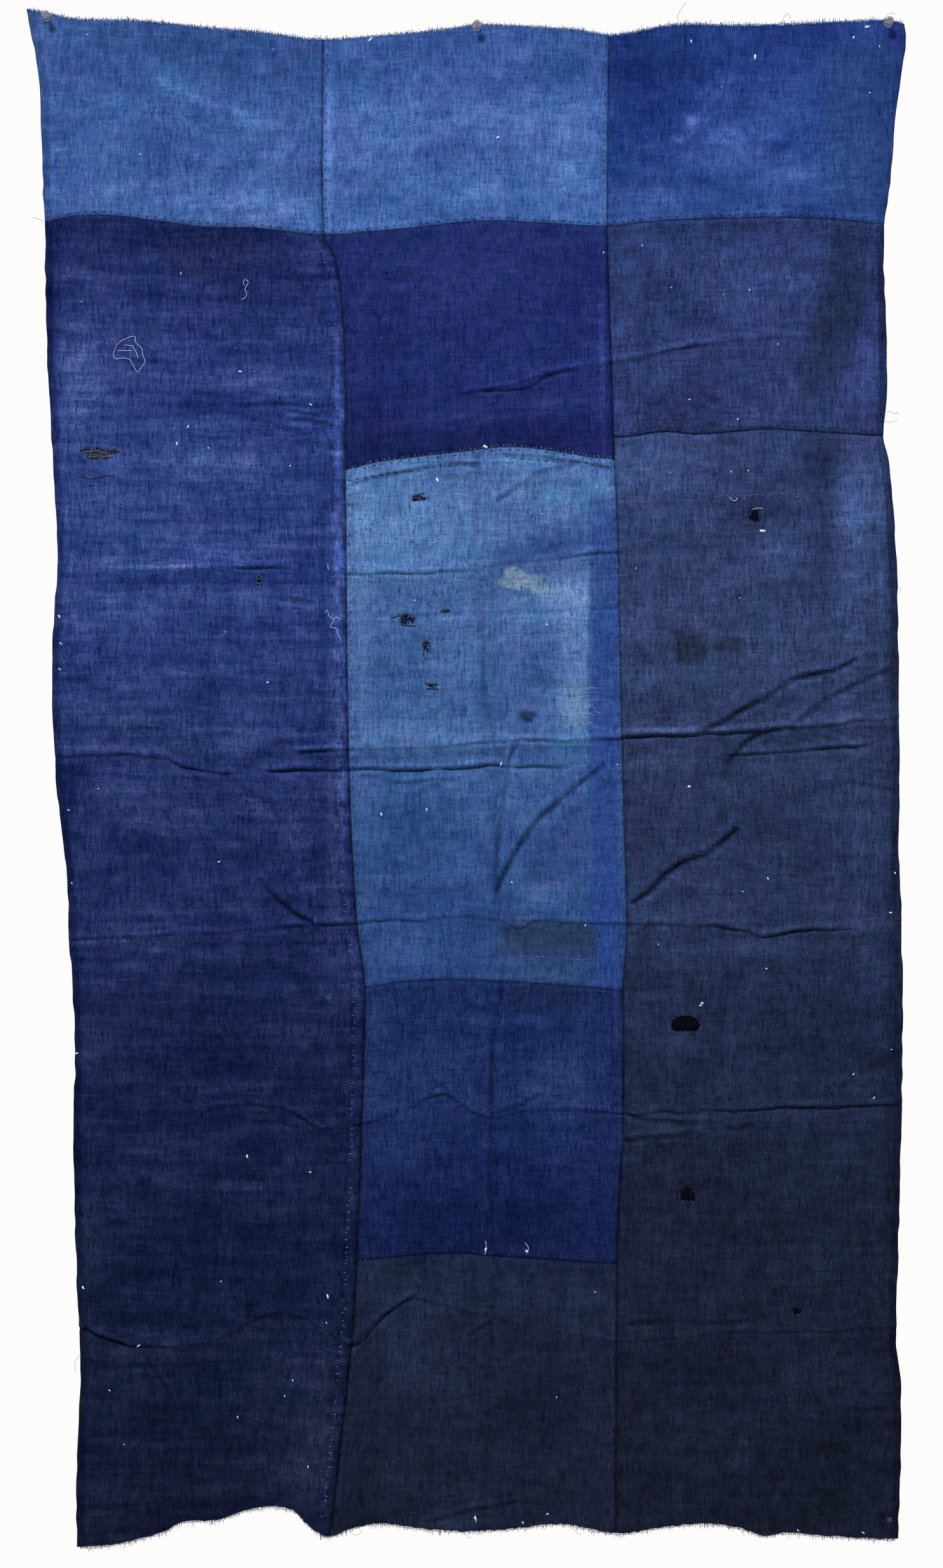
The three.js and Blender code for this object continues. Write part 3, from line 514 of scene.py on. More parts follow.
FADES_AND_PAINTED_SHADE_IN_PIXELS = [
    ("top_left", [
        (262, 133, 26, 9, -30, 0.55), (312, 156, 30, 9, -32, 0.6), (388, 186, 34, 10, -30, 0.45),
        (330, 318, 170, 24, -4, 0.38), (430, 330, 60, 14, 0, 0.3), (330, 70, 150, 26, -4, -0.22),
        (262, 245, 50, 20, 0, -0.3), (150, 180, 50, 60, 0, -0.18), (420, 120, 60, 40, 0, -0.15),
        (60, 250, 14, 140, 3, -0.3), (225, 280, 20, 50, 0, 0.2),
    ]),
    ("top_middle", [
        (870, 250, 80, 60, 20, 0.34), (760, 310, 120, 24, 2, 0.26), (518, 200, 10, 140, 0, 0.35),
        (600, 110, 90, 50, 0, -0.12), (900, 90, 60, 40, 0, -0.18), (620, 260, 60, 50, 0, 0.12),
    ]),
    ("top_right", [
        (1040, 115, 95, 75, 30, -0.5), (1005, 190, 50, 60, 0, -0.3), (1200, 255, 110, 30, -24, 0.6),
        (1330, 250, 60, 50, 0, 0.25), (1222, 236, 36, 13, 55, -0.6), (1085, 188, 7, 7, 0, 1.1),
        (1103, 192, 8, 6, 0, 0.8), (1062, 222, 9, 6, 0, 0.7), (1110, 140, 60, 3, 50, 0.4),
        (1160, 342, 5, 8, 0, 1.0), (1390, 190, 16, 150, -3, -0.4), (1250, 170, 60, 30, 20, 0.15),
        (1020, 320, 60, 20, 10, 0.25),
    ]),
    ("middle_navy", [
        (740, 705, 220, 30, 6, -0.5), (680, 450, 110, 80, 0, 0.22), (947, 520, 4, 180, 0, 0.4),
        (961, 540, 8, 190, 0, -0.5), (860, 640, 90, 16, 8, 0.25), (600, 640, 60, 50, 0, -0.2),
    ]),
    ("right_upper", [
        (1322, 400, 22, 60, 0, -0.55), (1312, 500, 24, 60, -14, -0.7), (1285, 570, 24, 40, -20, -0.4),
        (1190, 430, 80, 60, 10, 0.32), (1010, 400, 40, 50, 0, 0.12), (1360, 600, 16, 60, 0, 0.3),
        # The row at 1090, 610 is painted shade beside the creases there
        (1090, 610, 90, 20, 16, -0.2), (1150, 365, 120, 12, 0, -0.2), (1385, 520, 8, 170, 0, -0.4),
        (1200, 545, 130, 9, 8, 0.25), (1215, 650, 60, 20, 14, 0.2),
    ]),
    ("left_long", [
        (300, 366, 230, 12, -1, -0.6), (410, 410, 100, 50, 0, -0.35), (130, 585, 45, 50, 0, 0.5),
        (350, 600, 160, 14, 0, 0.32), (150, 615, 22, 5, 0, 0.6), (300, 640, 120, 14, -2, -0.4),
        (120, 650, 50, 60, 0, 0.3), (470, 700, 80, 50, 0, -0.15), (300, 715, 160, 30, -3, 0.3),
        (240, 893, 120, 4, 2, 1.0), (160, 884, 34, 7, 4, 0.7), (270, 915, 130, 12, 1, -0.6),
        (460, 905, 70, 12, 0, -0.35), (175, 945, 26, 10, 8, 0.5), (250, 955, 30, 8, -10, 0.5),
        (135, 985, 26, 18, 0, 0.4), (320, 930, 80, 10, -6, 0.3), (385, 830, 130, 12, 0, 0.2),
        (450, 1080, 60, 60, 0, -0.2), (420, 1100, 50, 12, 0, 0.5), (130, 1178, 60, 9, 1, 0.8),
        (300, 1183, 110, 5, -2, 0.4), (112, 1215, 34, 18, 0, -0.6), (420, 1190, 140, 8, 2, -0.4),
        (400, 1262, 60, 9, -34, 0.5), (470, 1310, 22, 40, -30, 0.3), (200, 1240, 60, 12, 0, 0.35),
        (530, 1110, 12, 560, -1, 0.45), (506, 1000, 10, 420, 0, -0.3), (80, 1100, 12, 420, 0, -0.75),
        (100, 1450, 14, 300, -3, -0.7), (112, 2000, 13, 400, -1, -0.6), (76, 560, 13, 260, -3, -0.75),
        (95, 800, 5, 400, -2, 0.25), (180, 1560, 60, 80, 0, 0.25), (350, 1500, 120, 10, 0, 0.2),
        (300, 1650, 120, 60, 0, -0.2), (380, 1780, 100, 12, 6, 0.35), (140, 1950, 30, 60, 0, 0.3),
        (330, 2104, 110, 14, 4, 0.45), (450, 2130, 50, 60, 0, 0.3), (190, 2120, 50, 12, -14, 0.4),
        (210, 2340, 70, 24, 0, 0.35), (480, 2290, 30, 90, 0, 0.4), (300, 2250, 90, 60, 0, -0.2),
        (540, 1300, 6, 200, -2, 0.3), (400, 1000, 80, 40, 0, -0.15), (250, 790, 120, 20, 0, 0.2),
    ]),
    ("middle_light", [
        (650, 840, 120, 70, 0, 0.36), (560, 800, 22, 100, 0, 0.22), (560, 1050, 20, 130, 0, 0.2),
        # The row at 862, 862 is painted shadow, a dark line above the bleached place
        (860, 800, 60, 50, 20, 0.1), (862, 862, 75, 20, 9, -0.75), (800, 890, 30, 30, 0, -0.4),
        (905, 1000, 24, 90, 0, 0.5), (895, 940, 40, 26, -20, 0.5), (902, 1110, 34, 34, 0, 0.55),
        (650, 1150, 110, 20, 0, 0.3), (860, 1165, 90, 8, 3, 0.4), (700, 1300, 120, 60, 0, -0.2),
        (860, 1410, 60, 30, 0, 0.38), (640, 1480, 70, 24, 0, 0.2), (600, 1230, 50, 30, 0, -0.15),
        (780, 1390, 12, 50, 20, -0.3), (770, 1110, 12, 60, 0, -0.2), (840, 1050, 30, 30, 0, -0.3),
        (760, 1080, 6, 90, 0, -0.25), (700, 1050, 30, 20, 0, 0.15), (800, 1000, 30, 60, 0, 0.15),
    ]),
    ("middle_mid", [
        (690, 1690, 70, 50, 0, 0.38), (890, 1690, 60, 50, 0, 0.5), (640, 1800, 60, 30, 0, 0.2),
        (780, 1920, 180, 50, 0, -0.3), (590, 1700, 20, 150, 0, 0.15), (820, 1600, 100, 8, 0, 0.3),
        (930, 1850, 40, 100, 0, 0.15),
    ]),
    ("middle_charcoal", [
        (650, 2070, 50, 40, 30, 0.35), (640, 2130, 60, 50, 0, 0.25), (860, 2200, 90, 90, 0, -0.25),
        (720, 2390, 60, 10, 4, 0.6), (800, 2030, 120, 20, 0, 0.12),
    ]),
    ("right_long", [
        (1010, 760, 40, 60, 0, 0.25), (1340, 790, 50, 60, 0, 0.5), (1290, 735, 26, 60, 0, -0.55),
        (1340, 930, 60, 40, 0, 0.25), (1240, 960, 50, 60, 0, 0.12), (1180, 900, 60, 40, 0, 0.15),
        (1010, 1000, 40, 60, 0, 0.1), (1130, 1085, 100, 40, 0, -0.15), (1060, 1148, 60, 6, 2, 0.6),
        (1250, 1138, 140, 5, 2, 0.35), (1300, 1180, 80, 14, 0, 0.15), (1040, 1190, 60, 12, 14, 0.3),
        (1330, 1040, 60, 8, 26, 0.35), (1402, 1200, 9, 760, 0, -0.55), (1384, 900, 5, 200, 0, 0.2),
        (1040, 1440, 60, 30, 10, 0.3), (1180, 1490, 80, 12, -4, 0.4), (1150, 1380, 120, 40, 0, 0.15),
        (1250, 1320, 60, 60, 0, -0.15), (1350, 1430, 40, 60, 0, 0.2), (1110, 1500, 70, 30, 0, 0.2),
        (1200, 1752, 200, 7, 1, 0.5), (1060, 1775, 60, 6, 0, 0.4), (1300, 1600, 60, 60, 0, -0.12),
        (1060, 1680, 40, 30, 0, 0.2), (1180, 1900, 120, 60, 0, -0.15), (1340, 2030, 50, 20, 10, 0.25),
        (1120, 2090, 120, 8, 0, 0.3), (1330, 2300, 50, 60, 0, -0.2), (1070, 2300, 50, 60, 0, 0.12),
        (1187, 808, 64, 27, 0, -0.5), (990, 1350, 10, 300, 0, 0.15),
    ]),
]

FADES_AND_PAINTED_SHADE = [(panel, *row) for panel, rows in FADES_IN_METRES for row in rows] + [
    (panel, *photo_place(x, y), photo_span(half_wide), photo_span(half_tall), turn, strength)
    for panel, rows in FADES_AND_PAINTED_SHADE_IN_PIXELS
    for x, y, half_wide, half_tall, turn, strength in rows
]

# Stains and bleached places that have a colour of their own: panel, centre, half sizes, turn,
# colour and how far it covers

STAINS = [
    ("middle_light", 0.0445, -0.6336, 0.017, 0.0115, 0, (142, 168, 190), 0.85),
    ("middle_light", 0.063, -0.6385, 0.018, 0.009, -12, (128, 156, 182), 0.75),
    ("middle_light", 0.083, -0.6485, 0.017, 0.010, -24, (112, 144, 186), 0.5),
    ("middle_light", 0.108, -0.672, 0.014, 0.030, 4, (92, 126, 172), 0.35),
    ("middle_light", 0.112, -0.780, 0.016, 0.026, 0, (100, 134, 166), 0.5),
    ("middle_light", 0.059, -0.792, 0.0076, 0.0074, 0, (24, 42, 74), 1.0),
    ("middle_light", 0.1455, -0.840, 0.0165, 0.29, 0, (41, 66, 136), 0.75),
    ("middle_light", 0.082, -1.046, 0.052, 0.0205, 0, (42, 60, 92), 0.8),
    ("middle_light", 0.082, -1.083, 0.052, 0.015, 0, (46, 68, 108), 0.5),
    ("middle_mid", 0.078, -1.114, 0.048, 0.014, 0, (26, 40, 78), 0.7),
    ("middle_mid", 0.140, -1.25, 0.016, 0.18, 0, (24, 36, 82), 0.4),
    ("right_upper", 0.418, -0.29, 0.026, 0.08, -6, (36, 50, 78), 0.35),
    ("right_upper", 0.405, -0.36, 0.024, 0.07, -18, (36, 50, 78), 0.35),
    ("right_upper", 0.385, -0.42, 0.022, 0.05, -26, (38, 52, 84), 0.25),
    ("top_right", 0.437, -0.11, 0.04, 0.09, 0, (42, 68, 118), 0.5),
    ("right_long", 0.245, -0.711, 0.023, 0.020, 0, (34, 40, 55), 0.9),
    ("right_long", 0.286, -0.709, 0.019, 0.009, 0, (35, 41, 60), 0.8),
    ("right_long", 0.279, -0.708, 0.003, 0.003, 0, (26, 30, 56), 0.8),
    ("left_long", -0.30, -0.262, 0.06, 0.03, 0, (36, 42, 78), 0.5),
    ("left_long", -0.45, -1.40, 0.03, 0.05, 0, (26, 44, 70), 0.5),
]

# Each panel's colour down its length: height z and colour. Darker towards the bottom, mostly by the dye
# itself, partly painted shade of light that fades downwards

PALETTES = {
    "top_left": [(0.02, (59, 90, 154)), (-0.24, (66, 99, 165))],
    "top_middle": [(0.0, (62, 93, 160)), (-0.24, (70, 104, 172))],
    "top_right": [(0.0, (41, 64, 133)), (-0.12, (44, 69, 138)), (-0.23, (50, 80, 146))],
    "middle_navy": [(-0.23, (33, 44, 105)), (-0.4, (35, 47, 109)), (-0.5, (32, 41, 96))],
    "right_upper": [(-0.23, (44, 58, 106)), (-0.47, (48, 62, 112))],
    "left_long": [
        (-0.23, (35, 46, 99)), (-0.33, (40, 54, 112)), (-0.42, (46, 65, 128)), (-0.62, (48, 68, 132)),
        (-0.8, (43, 59, 114)), (-0.9, (35, 48, 98)), (-1.1, (28, 39, 82)), (-1.35, (21, 29, 61)),
        (-1.55, (19, 26, 54)), (-1.74, (18, 24, 49)),
    ],
    "middle_light": [
        (-0.5, (78, 112, 170)), (-0.62, (76, 110, 168)), (-0.7, (69, 101, 158)), (-0.84, (63, 94, 150)),
        (-0.95, (52, 80, 135)), (-1.1, (44, 70, 125)),
    ],
    "middle_mid": [(-1.1, (30, 47, 97)), (-1.25, (26, 42, 88)), (-1.41, (20, 31, 73))],
    "middle_charcoal": [(-1.41, (28, 36, 62)), (-1.55, (27, 34, 57)), (-1.72, (24, 30, 49))],
    "right_long": [
        (-0.47, (53, 68, 114)), (-0.7, (50, 64, 104)), (-0.84, (44, 56, 91)), (-1.0, (39, 51, 85)),
        (-1.2, (31, 40, 67)), (-1.4, (26, 33, 54)), (-1.73, (20, 25, 41)),
    ],
}

# How streaked each panel is across, along the weft, and how mottled

STREAKS = {"left_long": 0.75, "middle_light": 0.25, "right_long": 0.3, "right_upper": 0.24}
PLAIN_STREAK = 0.22
MOTTLE = {"left_long": 0.5, "middle_light": 0.3, "middle_charcoal": 0.34, "middle_navy": 0.3}
PLAIN_MOTTLE = 0.4

# How strongly red, green and blue follow the dye's depth: blues whiten as they fade

PLAIN_RESPONSE = (1.25, 1.0, 0.66)
GREY_RESPONSE = (1.0, 1.0, 0.95)
RESPONSES = {"right_long": GREY_RESPONSE, "right_upper": GREY_RESPONSE, "middle_charcoal": GREY_RESPONSE}

# The panels: name, material slot, side lines, end lines

PANELS = [
    ("top_left", "indigo_mid", "leftEdge", "leftSeam", "topEdge", "rowSeam"),
    ("top_middle", "indigo_mid", "leftSeam", "rightSeam", "topEdge", "rowSeam"),
    ("top_right", "indigo_mid", "rightSeam", "rightEdge", "topEdge", "rowSeam"),
    ("left_long", "indigo_dark", "leftEdge", "leftSeam", "rowSeam", "hem"),
    ("middle_navy", "indigo_navy", "leftSeam", "rightSeam", "rowSeam", "navySeam"),
    ("middle_light", "indigo_light", "leftSeam", "rightSeam", "navySeam", "lightSeam"),
    ("middle_mid", "indigo_dark", "leftSeam", "rightSeam", "lightSeam", "charcoalSeam"),
    ("middle_charcoal", "indigo_charcoal", "leftSeam", "rightSeam", "charcoalSeam", "hem"),
    ("right_upper", "indigo_grey", "rightSeam", "rightEdge", "rowSeam", "rightCrossSeam"),
    ("right_long", "indigo_grey", "rightSeam", "rightEdge", "rightCrossSeam", "hem"),
]
FREE_LINES = ("leftEdge", "rightEdge", "topEdge", "hem")

# Threads that lie on the cloth, threads that stray past its edge, and rows of stitches, in
# pixels of the photo

LOOSE_THREADS = photo_lines([
    ("mend outline", [
        (180, 559), (187, 544), (198, 537), (214, 532), (216, 542), (225, 551), (227, 562), (230, 571),
        (225, 580), (218, 587), (211, 576), (207, 569), (196, 566), (184, 567), (180, 559),
    ]),
    ("mend line high", [(198, 545), (214, 547)]),
    ("mend line low", [(187, 554), (211, 554)]),
    ("mend line upright", [(211, 548), (216, 556), (220, 567)]),
    ("curl", [
        (386, 452), (384, 448), (387, 443), (392, 447), (389, 453), (387, 457), (389, 464), (387, 471),
        (380, 474),
    ]),
    ("edge zigzag", [
        (511, 966), (516, 961), (518, 969), (525, 976), (521, 987), (530, 990), (533, 1000),
        (537, 1007),
    ]),
    ("edge zigzag branch", [(524, 975), (531, 972), (537, 976)]),
    ("edge nick", [(516, 888), (518, 899)]),
    ("right curl", [(1146, 783), (1150, 788), (1156, 789), (1159, 784)]),
    ("right hole thread", [(1182, 803), (1190, 801), (1199, 802)]),
    ("light hole thread", [(664, 755), (671, 752)]),
    ("mid thread", [(764, 1950), (765, 1963), (762, 1972)]),
    ("mid thread two", [(826, 1953), (831, 1961), (828, 1970)]),
    ("foot thread", [(748, 2378), (749, 2390)]),
])

STRAY_THREADS = photo_lines([
    ("right edge hair", [(1389, 650), (1397, 649), (1405, 652), (1412, 651)]),
    ("right edge hair low", [(1390, 664), (1399, 666), (1410, 662)]),
    ("right edge tuft", [(1410, 926), (1415, 928), (1413, 932)]),
    ("left edge hair", [(72, 352), (64, 348), (54, 345)]),
    ("left foot hair", [(128, 2128), (122, 2136), (121, 2148), (122, 2153)]),
    ("foot curl", [(553, 2398), (560, 2404), (568, 2403), (571, 2398)]),
    ("foot loop", [(728, 2401), (731, 2408), (738, 2414), (742, 2412)]),
    ("foot loop right", [(902, 2399), (907, 2406), (914, 2408)]),
    ("foot loop far right", [(950, 2403), (956, 2407), (964, 2403), (968, 2409)]),
    ("top curl", [(1392, 30), (1396, 24), (1404, 21), (1408, 24)]),
    ("top hair", [(1068, 38), (1066, 26), (1072, 14), (1080, 4)]),
    ("top loop", [(1230, 38), (1234, 26), (1240, 22), (1243, 30)]),
])

STITCH_LINES = photo_lines([
    ("under navy seam left", [(548, 758), (600, 748), (657, 740), (702, 733), (752, 735)]),
    ("under navy seam right", [(794, 719), (864, 728), (906, 728), (966, 739)]),
    ("mend rectangle", [
        (1122, 783), (1190, 780), (1253, 782), (1254, 836), (1190, 838), (1122, 836), (1122, 783),
    ]),
    ("mend rectangle middle", [(1170, 784), (1172, 834)]),
    ("below light seam", [(791, 1588), (850, 1586), (921, 1589)]),
    ("above right cross seam", [(967, 680), (1045, 672), (1154, 672), (1277, 673), (1380, 679)]),
    ("patch line", [(815, 1504), (876, 1505), (905, 1509), (933, 1508)]),
])

# Lint and pale slubs: place in pixels of the photo, and how many pixels across

PHOTO_LINT = [
    (138, 55, 3), (222, 246, 3), (430, 78, 2), (783, 219, 6), (1187, 90, 6), (1188, 92, 5),
    (1087, 66, 4), (1135, 138, 2), (1364, 43, 7), (1343, 60, 5), (583, 63, 6), (1383, 74, 3),
    (1368, 147, 3), (379, 587, 5), (297, 673, 4), (280, 700, 4), (688, 757, 6), (764, 704, 7),
    (1083, 1238, 6), (1206, 1382, 4), (1103, 1577, 5), (1101, 1581, 4), (1405, 1373, 4),
    (1399, 1435, 4), (96, 971, 5), (98, 1013, 4), (96, 1054, 4), (422, 1074, 4), (356, 995, 2),
    (157, 1241, 2), (110, 1274, 3), (115, 1389, 3), (346, 1355, 3), (123, 1655, 4), (391, 1817, 5),
    (489, 1842, 3), (517, 2035, 5), (349, 2013, 2), (134, 2022, 5), (221, 2113, 5), (600, 1281, 5),
    (672, 1274, 4), (788, 1202, 5), (1083, 631, 3), (1178, 459, 3), (1253, 2402, 3), (1355, 2406, 3),
    (130, 477, 2), (286, 433, 3), (490, 639, 4), (330, 707, 3), (458, 735, 3), (1198, 837, 7),
    (1137, 466, 2), (1176, 742, 3), (1149, 744, 3), (1054, 745, 2), (949, 400, 3), (936, 2030, 2),
    (764, 1963, 5), (829, 1966, 5), (748, 2383, 6), (822, 2391, 4), (861, 2378, 3), (175, 2183, 3),
    (198, 2268, 2), (375, 2227, 3), (449, 2192, 3), (462, 2167, 3), (515, 2075, 3), (487, 2298, 3),
    (1160, 662, 3), (920, 1455, 3), (918, 1205, 2), (805, 1387, 3), (970, 1203, 2), (1035, 1485, 2),
    (875, 2195, 2), (1167, 1402, 2), (1162, 942, 2), (1000, 895, 2), (1204, 1523, 3), (1341, 1689, 3),
    (1372, 1725, 3), (1400, 1650, 2), (1010, 388, 3), (1055, 455, 2), (1222, 544, 3), (700, 975, 2),
    (853, 811, 3), (861, 983, 3), (653, 946, 3),
]

LINT = [(*photo_place(x, y), photo_span(across / 2)) for x, y, across in PHOTO_LINT]


# Curves, ramps and noise

CLOUD_LEFT = 2.0
CLOUD_FOOT = 2.5
CLOUD_WIDE = 4.2
CLOUD_TALL = 4.4
LAYER_SHARE = 0.6


def make_curve(table):
    """A smooth curve through (place, value) rows; beyond its ends it stays level."""
    points = np.array(sorted(table))
    places, values = points[:, 0], points[:, 1]
    last = len(points) - 1
    before = np.maximum(np.arange(last + 1) - 1, 0)
    after = np.minimum(np.arange(last + 1) + 1, last)
    slopes = (values[after] - values[before]) / (places[after] - places[before])

    def value_at(place):
        at = np.clip(place, places[0], places[-1])
        i = np.clip(np.searchsorted(places, at, side="right") - 1, 0, last - 1)
        span = places[i + 1] - places[i]
        s = (at - places[i]) / span
        t = 1 - s
        ends = values[i] * t * t * (1 + 2 * s) + values[i + 1] * s * s * (3 - 2 * s)
        return ends + span * s * t * (slopes[i] * t - slopes[i + 1] * s)

    return value_at


def make_ramp(table):
    places, values = zip(*table)
    return lambda place: np.interp(place, places, values)


def smooth_step(share):
    s = np.clip(share, 0, 1)
    return s * s * (3 - 2 * s)


def bell(distance, width):
    """One on a line, fading to nothing a few widths away from it."""
    return np.exp(-(distance / width) ** 2)


@functools.cache
def cloud_grid(wide, tall, seed):
    draws = np.random.default_rng(seed)
    return draws.uniform(-1, 1, (int(CLOUD_TALL / tall) + 3, int(CLOUD_WIDE / wide) + 3))


def cloud(x, z, wide, tall, seed):
    """A smooth random field from -1 to 1 whose patches are wide across and tall up."""
    u = (np.asarray(x) + CLOUD_LEFT) / wide
    v = (np.asarray(z) + CLOUD_FOOT) / tall
    grid = cloud_grid(wide, tall, seed)
    i, j = np.floor(u).astype(int), np.floor(v).astype(int)
    s, t = smooth_step(u - i), smooth_step(v - j)
    low = grid[j, i] * (1 - s) + grid[j, i + 1] * s
    high = grid[j + 1, i] * (1 - s) + grid[j + 1, i + 1] * s
    return low * (1 - t) + high * t


def line_cloud(along, length, seed):
    """A smooth random value along a line, whose swells are a length long."""
    return cloud(along, np.zeros_like(along), length, 1.0, seed)


def layered_cloud(x, z, wide, tall, seed, layers=3):
    total, weight = 0, 0
    for layer in range(layers):
        share = LAYER_SHARE ** layer
        total = total + share * cloud(x, z, wide / 2 ** layer, tall / 2 ** layer, seed + layer)
        weight += share
    return total / weight


UPRIGHT_CURVES = {name: make_curve(table) for name, table in UPRIGHTS.items()}
LEVEL_CURVES = {name: make_curve(level["line"]) for name, level in LEVELS.items()}


# The shape of the hanging cloth

def crest_shape(distance, reach):
    return np.exp(-(np.hypot(distance, CREST_RADIUS) - CREST_RADIUS) / reach)


def distance_to_line(line, x, z):
    nearest = np.full(np.shape(x), np.inf)
    for (start_x, start_z), (end_x, end_z) in zip(line, line[1:]):
        along_x, along_z = end_x - start_x, end_z - start_z
        length = along_x ** 2 + along_z ** 2
        share = np.clip(((x - start_x) * along_x + (z - start_z) * along_z) / length, 0, 1)
        gap = np.hypot(x - start_x - along_x * share, z - start_z - along_z * share)
        nearest = np.minimum(nearest, gap)
    return nearest


# Random swells, each row its strength, how wide and how tall its patches are, and its seed

SWERVES = [(0.0016, 0.028, 0.028, 21), (0.0008, 0.009, 0.009, 22)]
PINCH_STRENGTHS = [(0.55, 0.035, 0.035, 23), (0.3, 0.012, 0.012, 24)]
PLAIN_STRENGTH = 0.9
CRUMPLE_BEND = (0.012, 0.08, 0.08, 5)
CRUMPLE_BROAD = (0.0016, 0.07, 0.045, 11)
CRUMPLE_MIDDLE = (0.0009, 0.026, 0.02, 12)
CRUMPLE_FINE = (0.00042, 0.012, 0.010, 13)
CRUMPLE_DRAG = (0.0009, 0.11, 0.014, 14)
DRAG_SLANT = 0.6
CRUMPLE_LEVEL = 0.0003
TAUT_SHARE = 0.25


def random_swell(x, z, strength, wide, tall, seed):
    return strength * cloud(x, z, wide, tall, seed)


def swells_over(level, rows, x, z):
    for row in rows:
        level = level + random_swell(x, z, *row)
    return level


def wander(x, z):
    """Small swerves that keep a pinched line from running as if it were ruled."""
    return swells_over(0.0, SWERVES, x, z)


def unevenness(x, z):
    """How strongly each stretch of a pinched line shows."""
    return np.clip(swells_over(PLAIN_STRENGTH, PINCH_STRENGTHS, x, z), 0, 2)


def fold_lift(name, x, z, swerve, uneven):
    level = LEVELS[name]
    rise = z - LEVEL_CURVES[name](x) + swerve
    reach = np.where(rise > 0, level["above"], level["below"])
    raised = make_ramp(level["crest"])(x) * crest_shape(rise, reach)
    depth = PINCH_GAIN * make_ramp(PINCHES[name])(x) * uneven
    groove = depth * bell(rise + PINCH_DROP, PINCH_WIDTH)
    ridge = 0.5 * depth * bell(rise - RIDGE_RISE, RIDGE_WIDTH)
    return raised + ridge - groove


def small_crease_lift(crease, x, z, swerve, uneven):
    _, line, height, reach, pinch, width = crease
    gap = distance_to_line(line, x + swerve, z + swerve)
    groove = pinch * uneven * bell(gap, width)
    return height * crest_shape(gap, reach) - groove


def main_lift(x, z):
    """How far the sheet stands forward of the plane it hangs against, as in the solids."""
    total = np.full(np.shape(x), HANG_LIFT)
    swerve, uneven = wander(x, z), unevenness(x, z)
    for name, level in LEVELS.items():
        if "crest" in level:
            total = total + fold_lift(name, x, z, swerve, uneven)
    for crease in SLANTED_CREASES:
        gap = distance_to_line(crease["line"], x, z)
        total = total + crease["height"] * crest_shape(gap, crease["reach"])
    for swell in SWELLS:
        across, up = (x - swell["x"]) / swell["wide"], (z - swell["z"]) / swell["tall"]
        total = total + swell["forward"] * np.exp(-across ** 2 - up ** 2)
    for wave in HEM_WAVES:
        down = np.clip(1 - (z - LEVEL_CURVES["hem"](x)) / wave["reach"], 0, 1)
        across = (x - wave["x"]) / wave["wide"]
        total = total + wave["forward"] * np.exp(-across ** 2) * down ** WAVE_FADE
    for crease in CREASES:
        total = total + small_crease_lift(crease, x, z, swerve, uneven)
    return total


def crumple(x, z):
    """Low wrinkles all over the old cloth."""
    bend = random_swell(x, z, *CRUMPLE_BEND)
    broad = random_swell(x, z + bend, *CRUMPLE_BROAD)
    middle = random_swell(x + bend, z, *CRUMPLE_MIDDLE)
    fine = random_swell(x, z, *CRUMPLE_FINE)
    drag = random_swell(x + DRAG_SLANT * z, z + bend, *CRUMPLE_DRAG)
    return broad + middle + fine + drag


def roll_relief(gap, along, seed):
    """A rolled and sewn side hem."""
    raised = HEM_ROLL_RAISE * smooth_step((HEM_ROLL_WIDTH - gap) / HEM_ROLL_SLOPE)
    raised = raised - HEM_ROLL_DIP * bell(gap - HEM_ROLL_WIDTH, HEM_DIP_WIDTH)
    return raised + HEM_RIPPLE * line_cloud(along, 0.02, seed) * np.exp(-gap / HEM_ROLL_WIDTH)


def sewn_relief(gap, along, seed):
    """A seam: a dip at the join, the cloth doubled beside it, and its puckers."""
    phase = along / PUCKER_LENGTH * 2 * math.pi + 2.5 * line_cloud(along, 0.04, seed)
    strength = 0.6 + 0.4 * line_cloud(along, 0.06, seed + 1)
    raised = ALLOWANCE_RAISE * smooth_step((ALLOWANCE_WIDTH - gap) / ALLOWANCE_SLOPE)
    raised = raised + PUCKER_HEIGHT * strength * np.sin(phase) * np.exp(-gap / PUCKER_REACH)
    return raised - SEAM_DIP * bell(gap, SEAM_DIP_WIDTH)


def sewn_line_relief(x, z):
    """The relief of every seam and side hem of the whole sheet."""
    left_seam, right_seam = UPRIGHT_CURVES["leftSeam"](z), UPRIGHT_CURVES["rightSeam"](z)
    below_row = z < LEVEL_CURVES["rowSeam"](x)
    raised = roll_relief(np.maximum(x - UPRIGHT_CURVES["leftEdge"](z), 0), z, 41)
    raised = raised + roll_relief(np.maximum(UPRIGHT_CURVES["rightEdge"](z) - x, 0), z, 42)
    raised = raised + sewn_relief(np.abs(x - left_seam), z, 50) + sewn_relief(np.abs(x - right_seam), z, 52)
    raised = raised + sewn_relief(np.abs(z - LEVEL_CURVES["rowSeam"](x)), x, 54)
    second_row = (x < left_seam) & below_row & (x > left_seam - BORDER_REACH)
    border = np.abs(left_seam - BORDER_WIDTH - x)
    raised = raised - second_row * BORDER_DIP * bell(border, BORDER_DIP_WIDTH)
    for name in ("navySeam", "lightSeam", "charcoalSeam"):
        inside = (x > left_seam) & (x < right_seam)
        raised = raised + inside * sewn_relief(np.abs(z - LEVEL_CURVES[name](x)), x, 56)
    return raised + (x > right_seam) * sewn_relief(np.abs(z - LEVEL_CURVES["rightCrossSeam"](x)), x, 58)


def lift(x, z):
    free = smooth_step((z - HANG_STARTS) / (HANG_FULL - HANG_STARTS))
    small = TAUT_SHARE + (1 - TAUT_SHARE) * free
    small_relief = (crumple(x, z) + CRUMPLE_LEVEL) * small + sewn_line_relief(x, z)
    return TOP_LIFT + main_lift(x, z) * free + small_relief * pin_freedom(x, z)


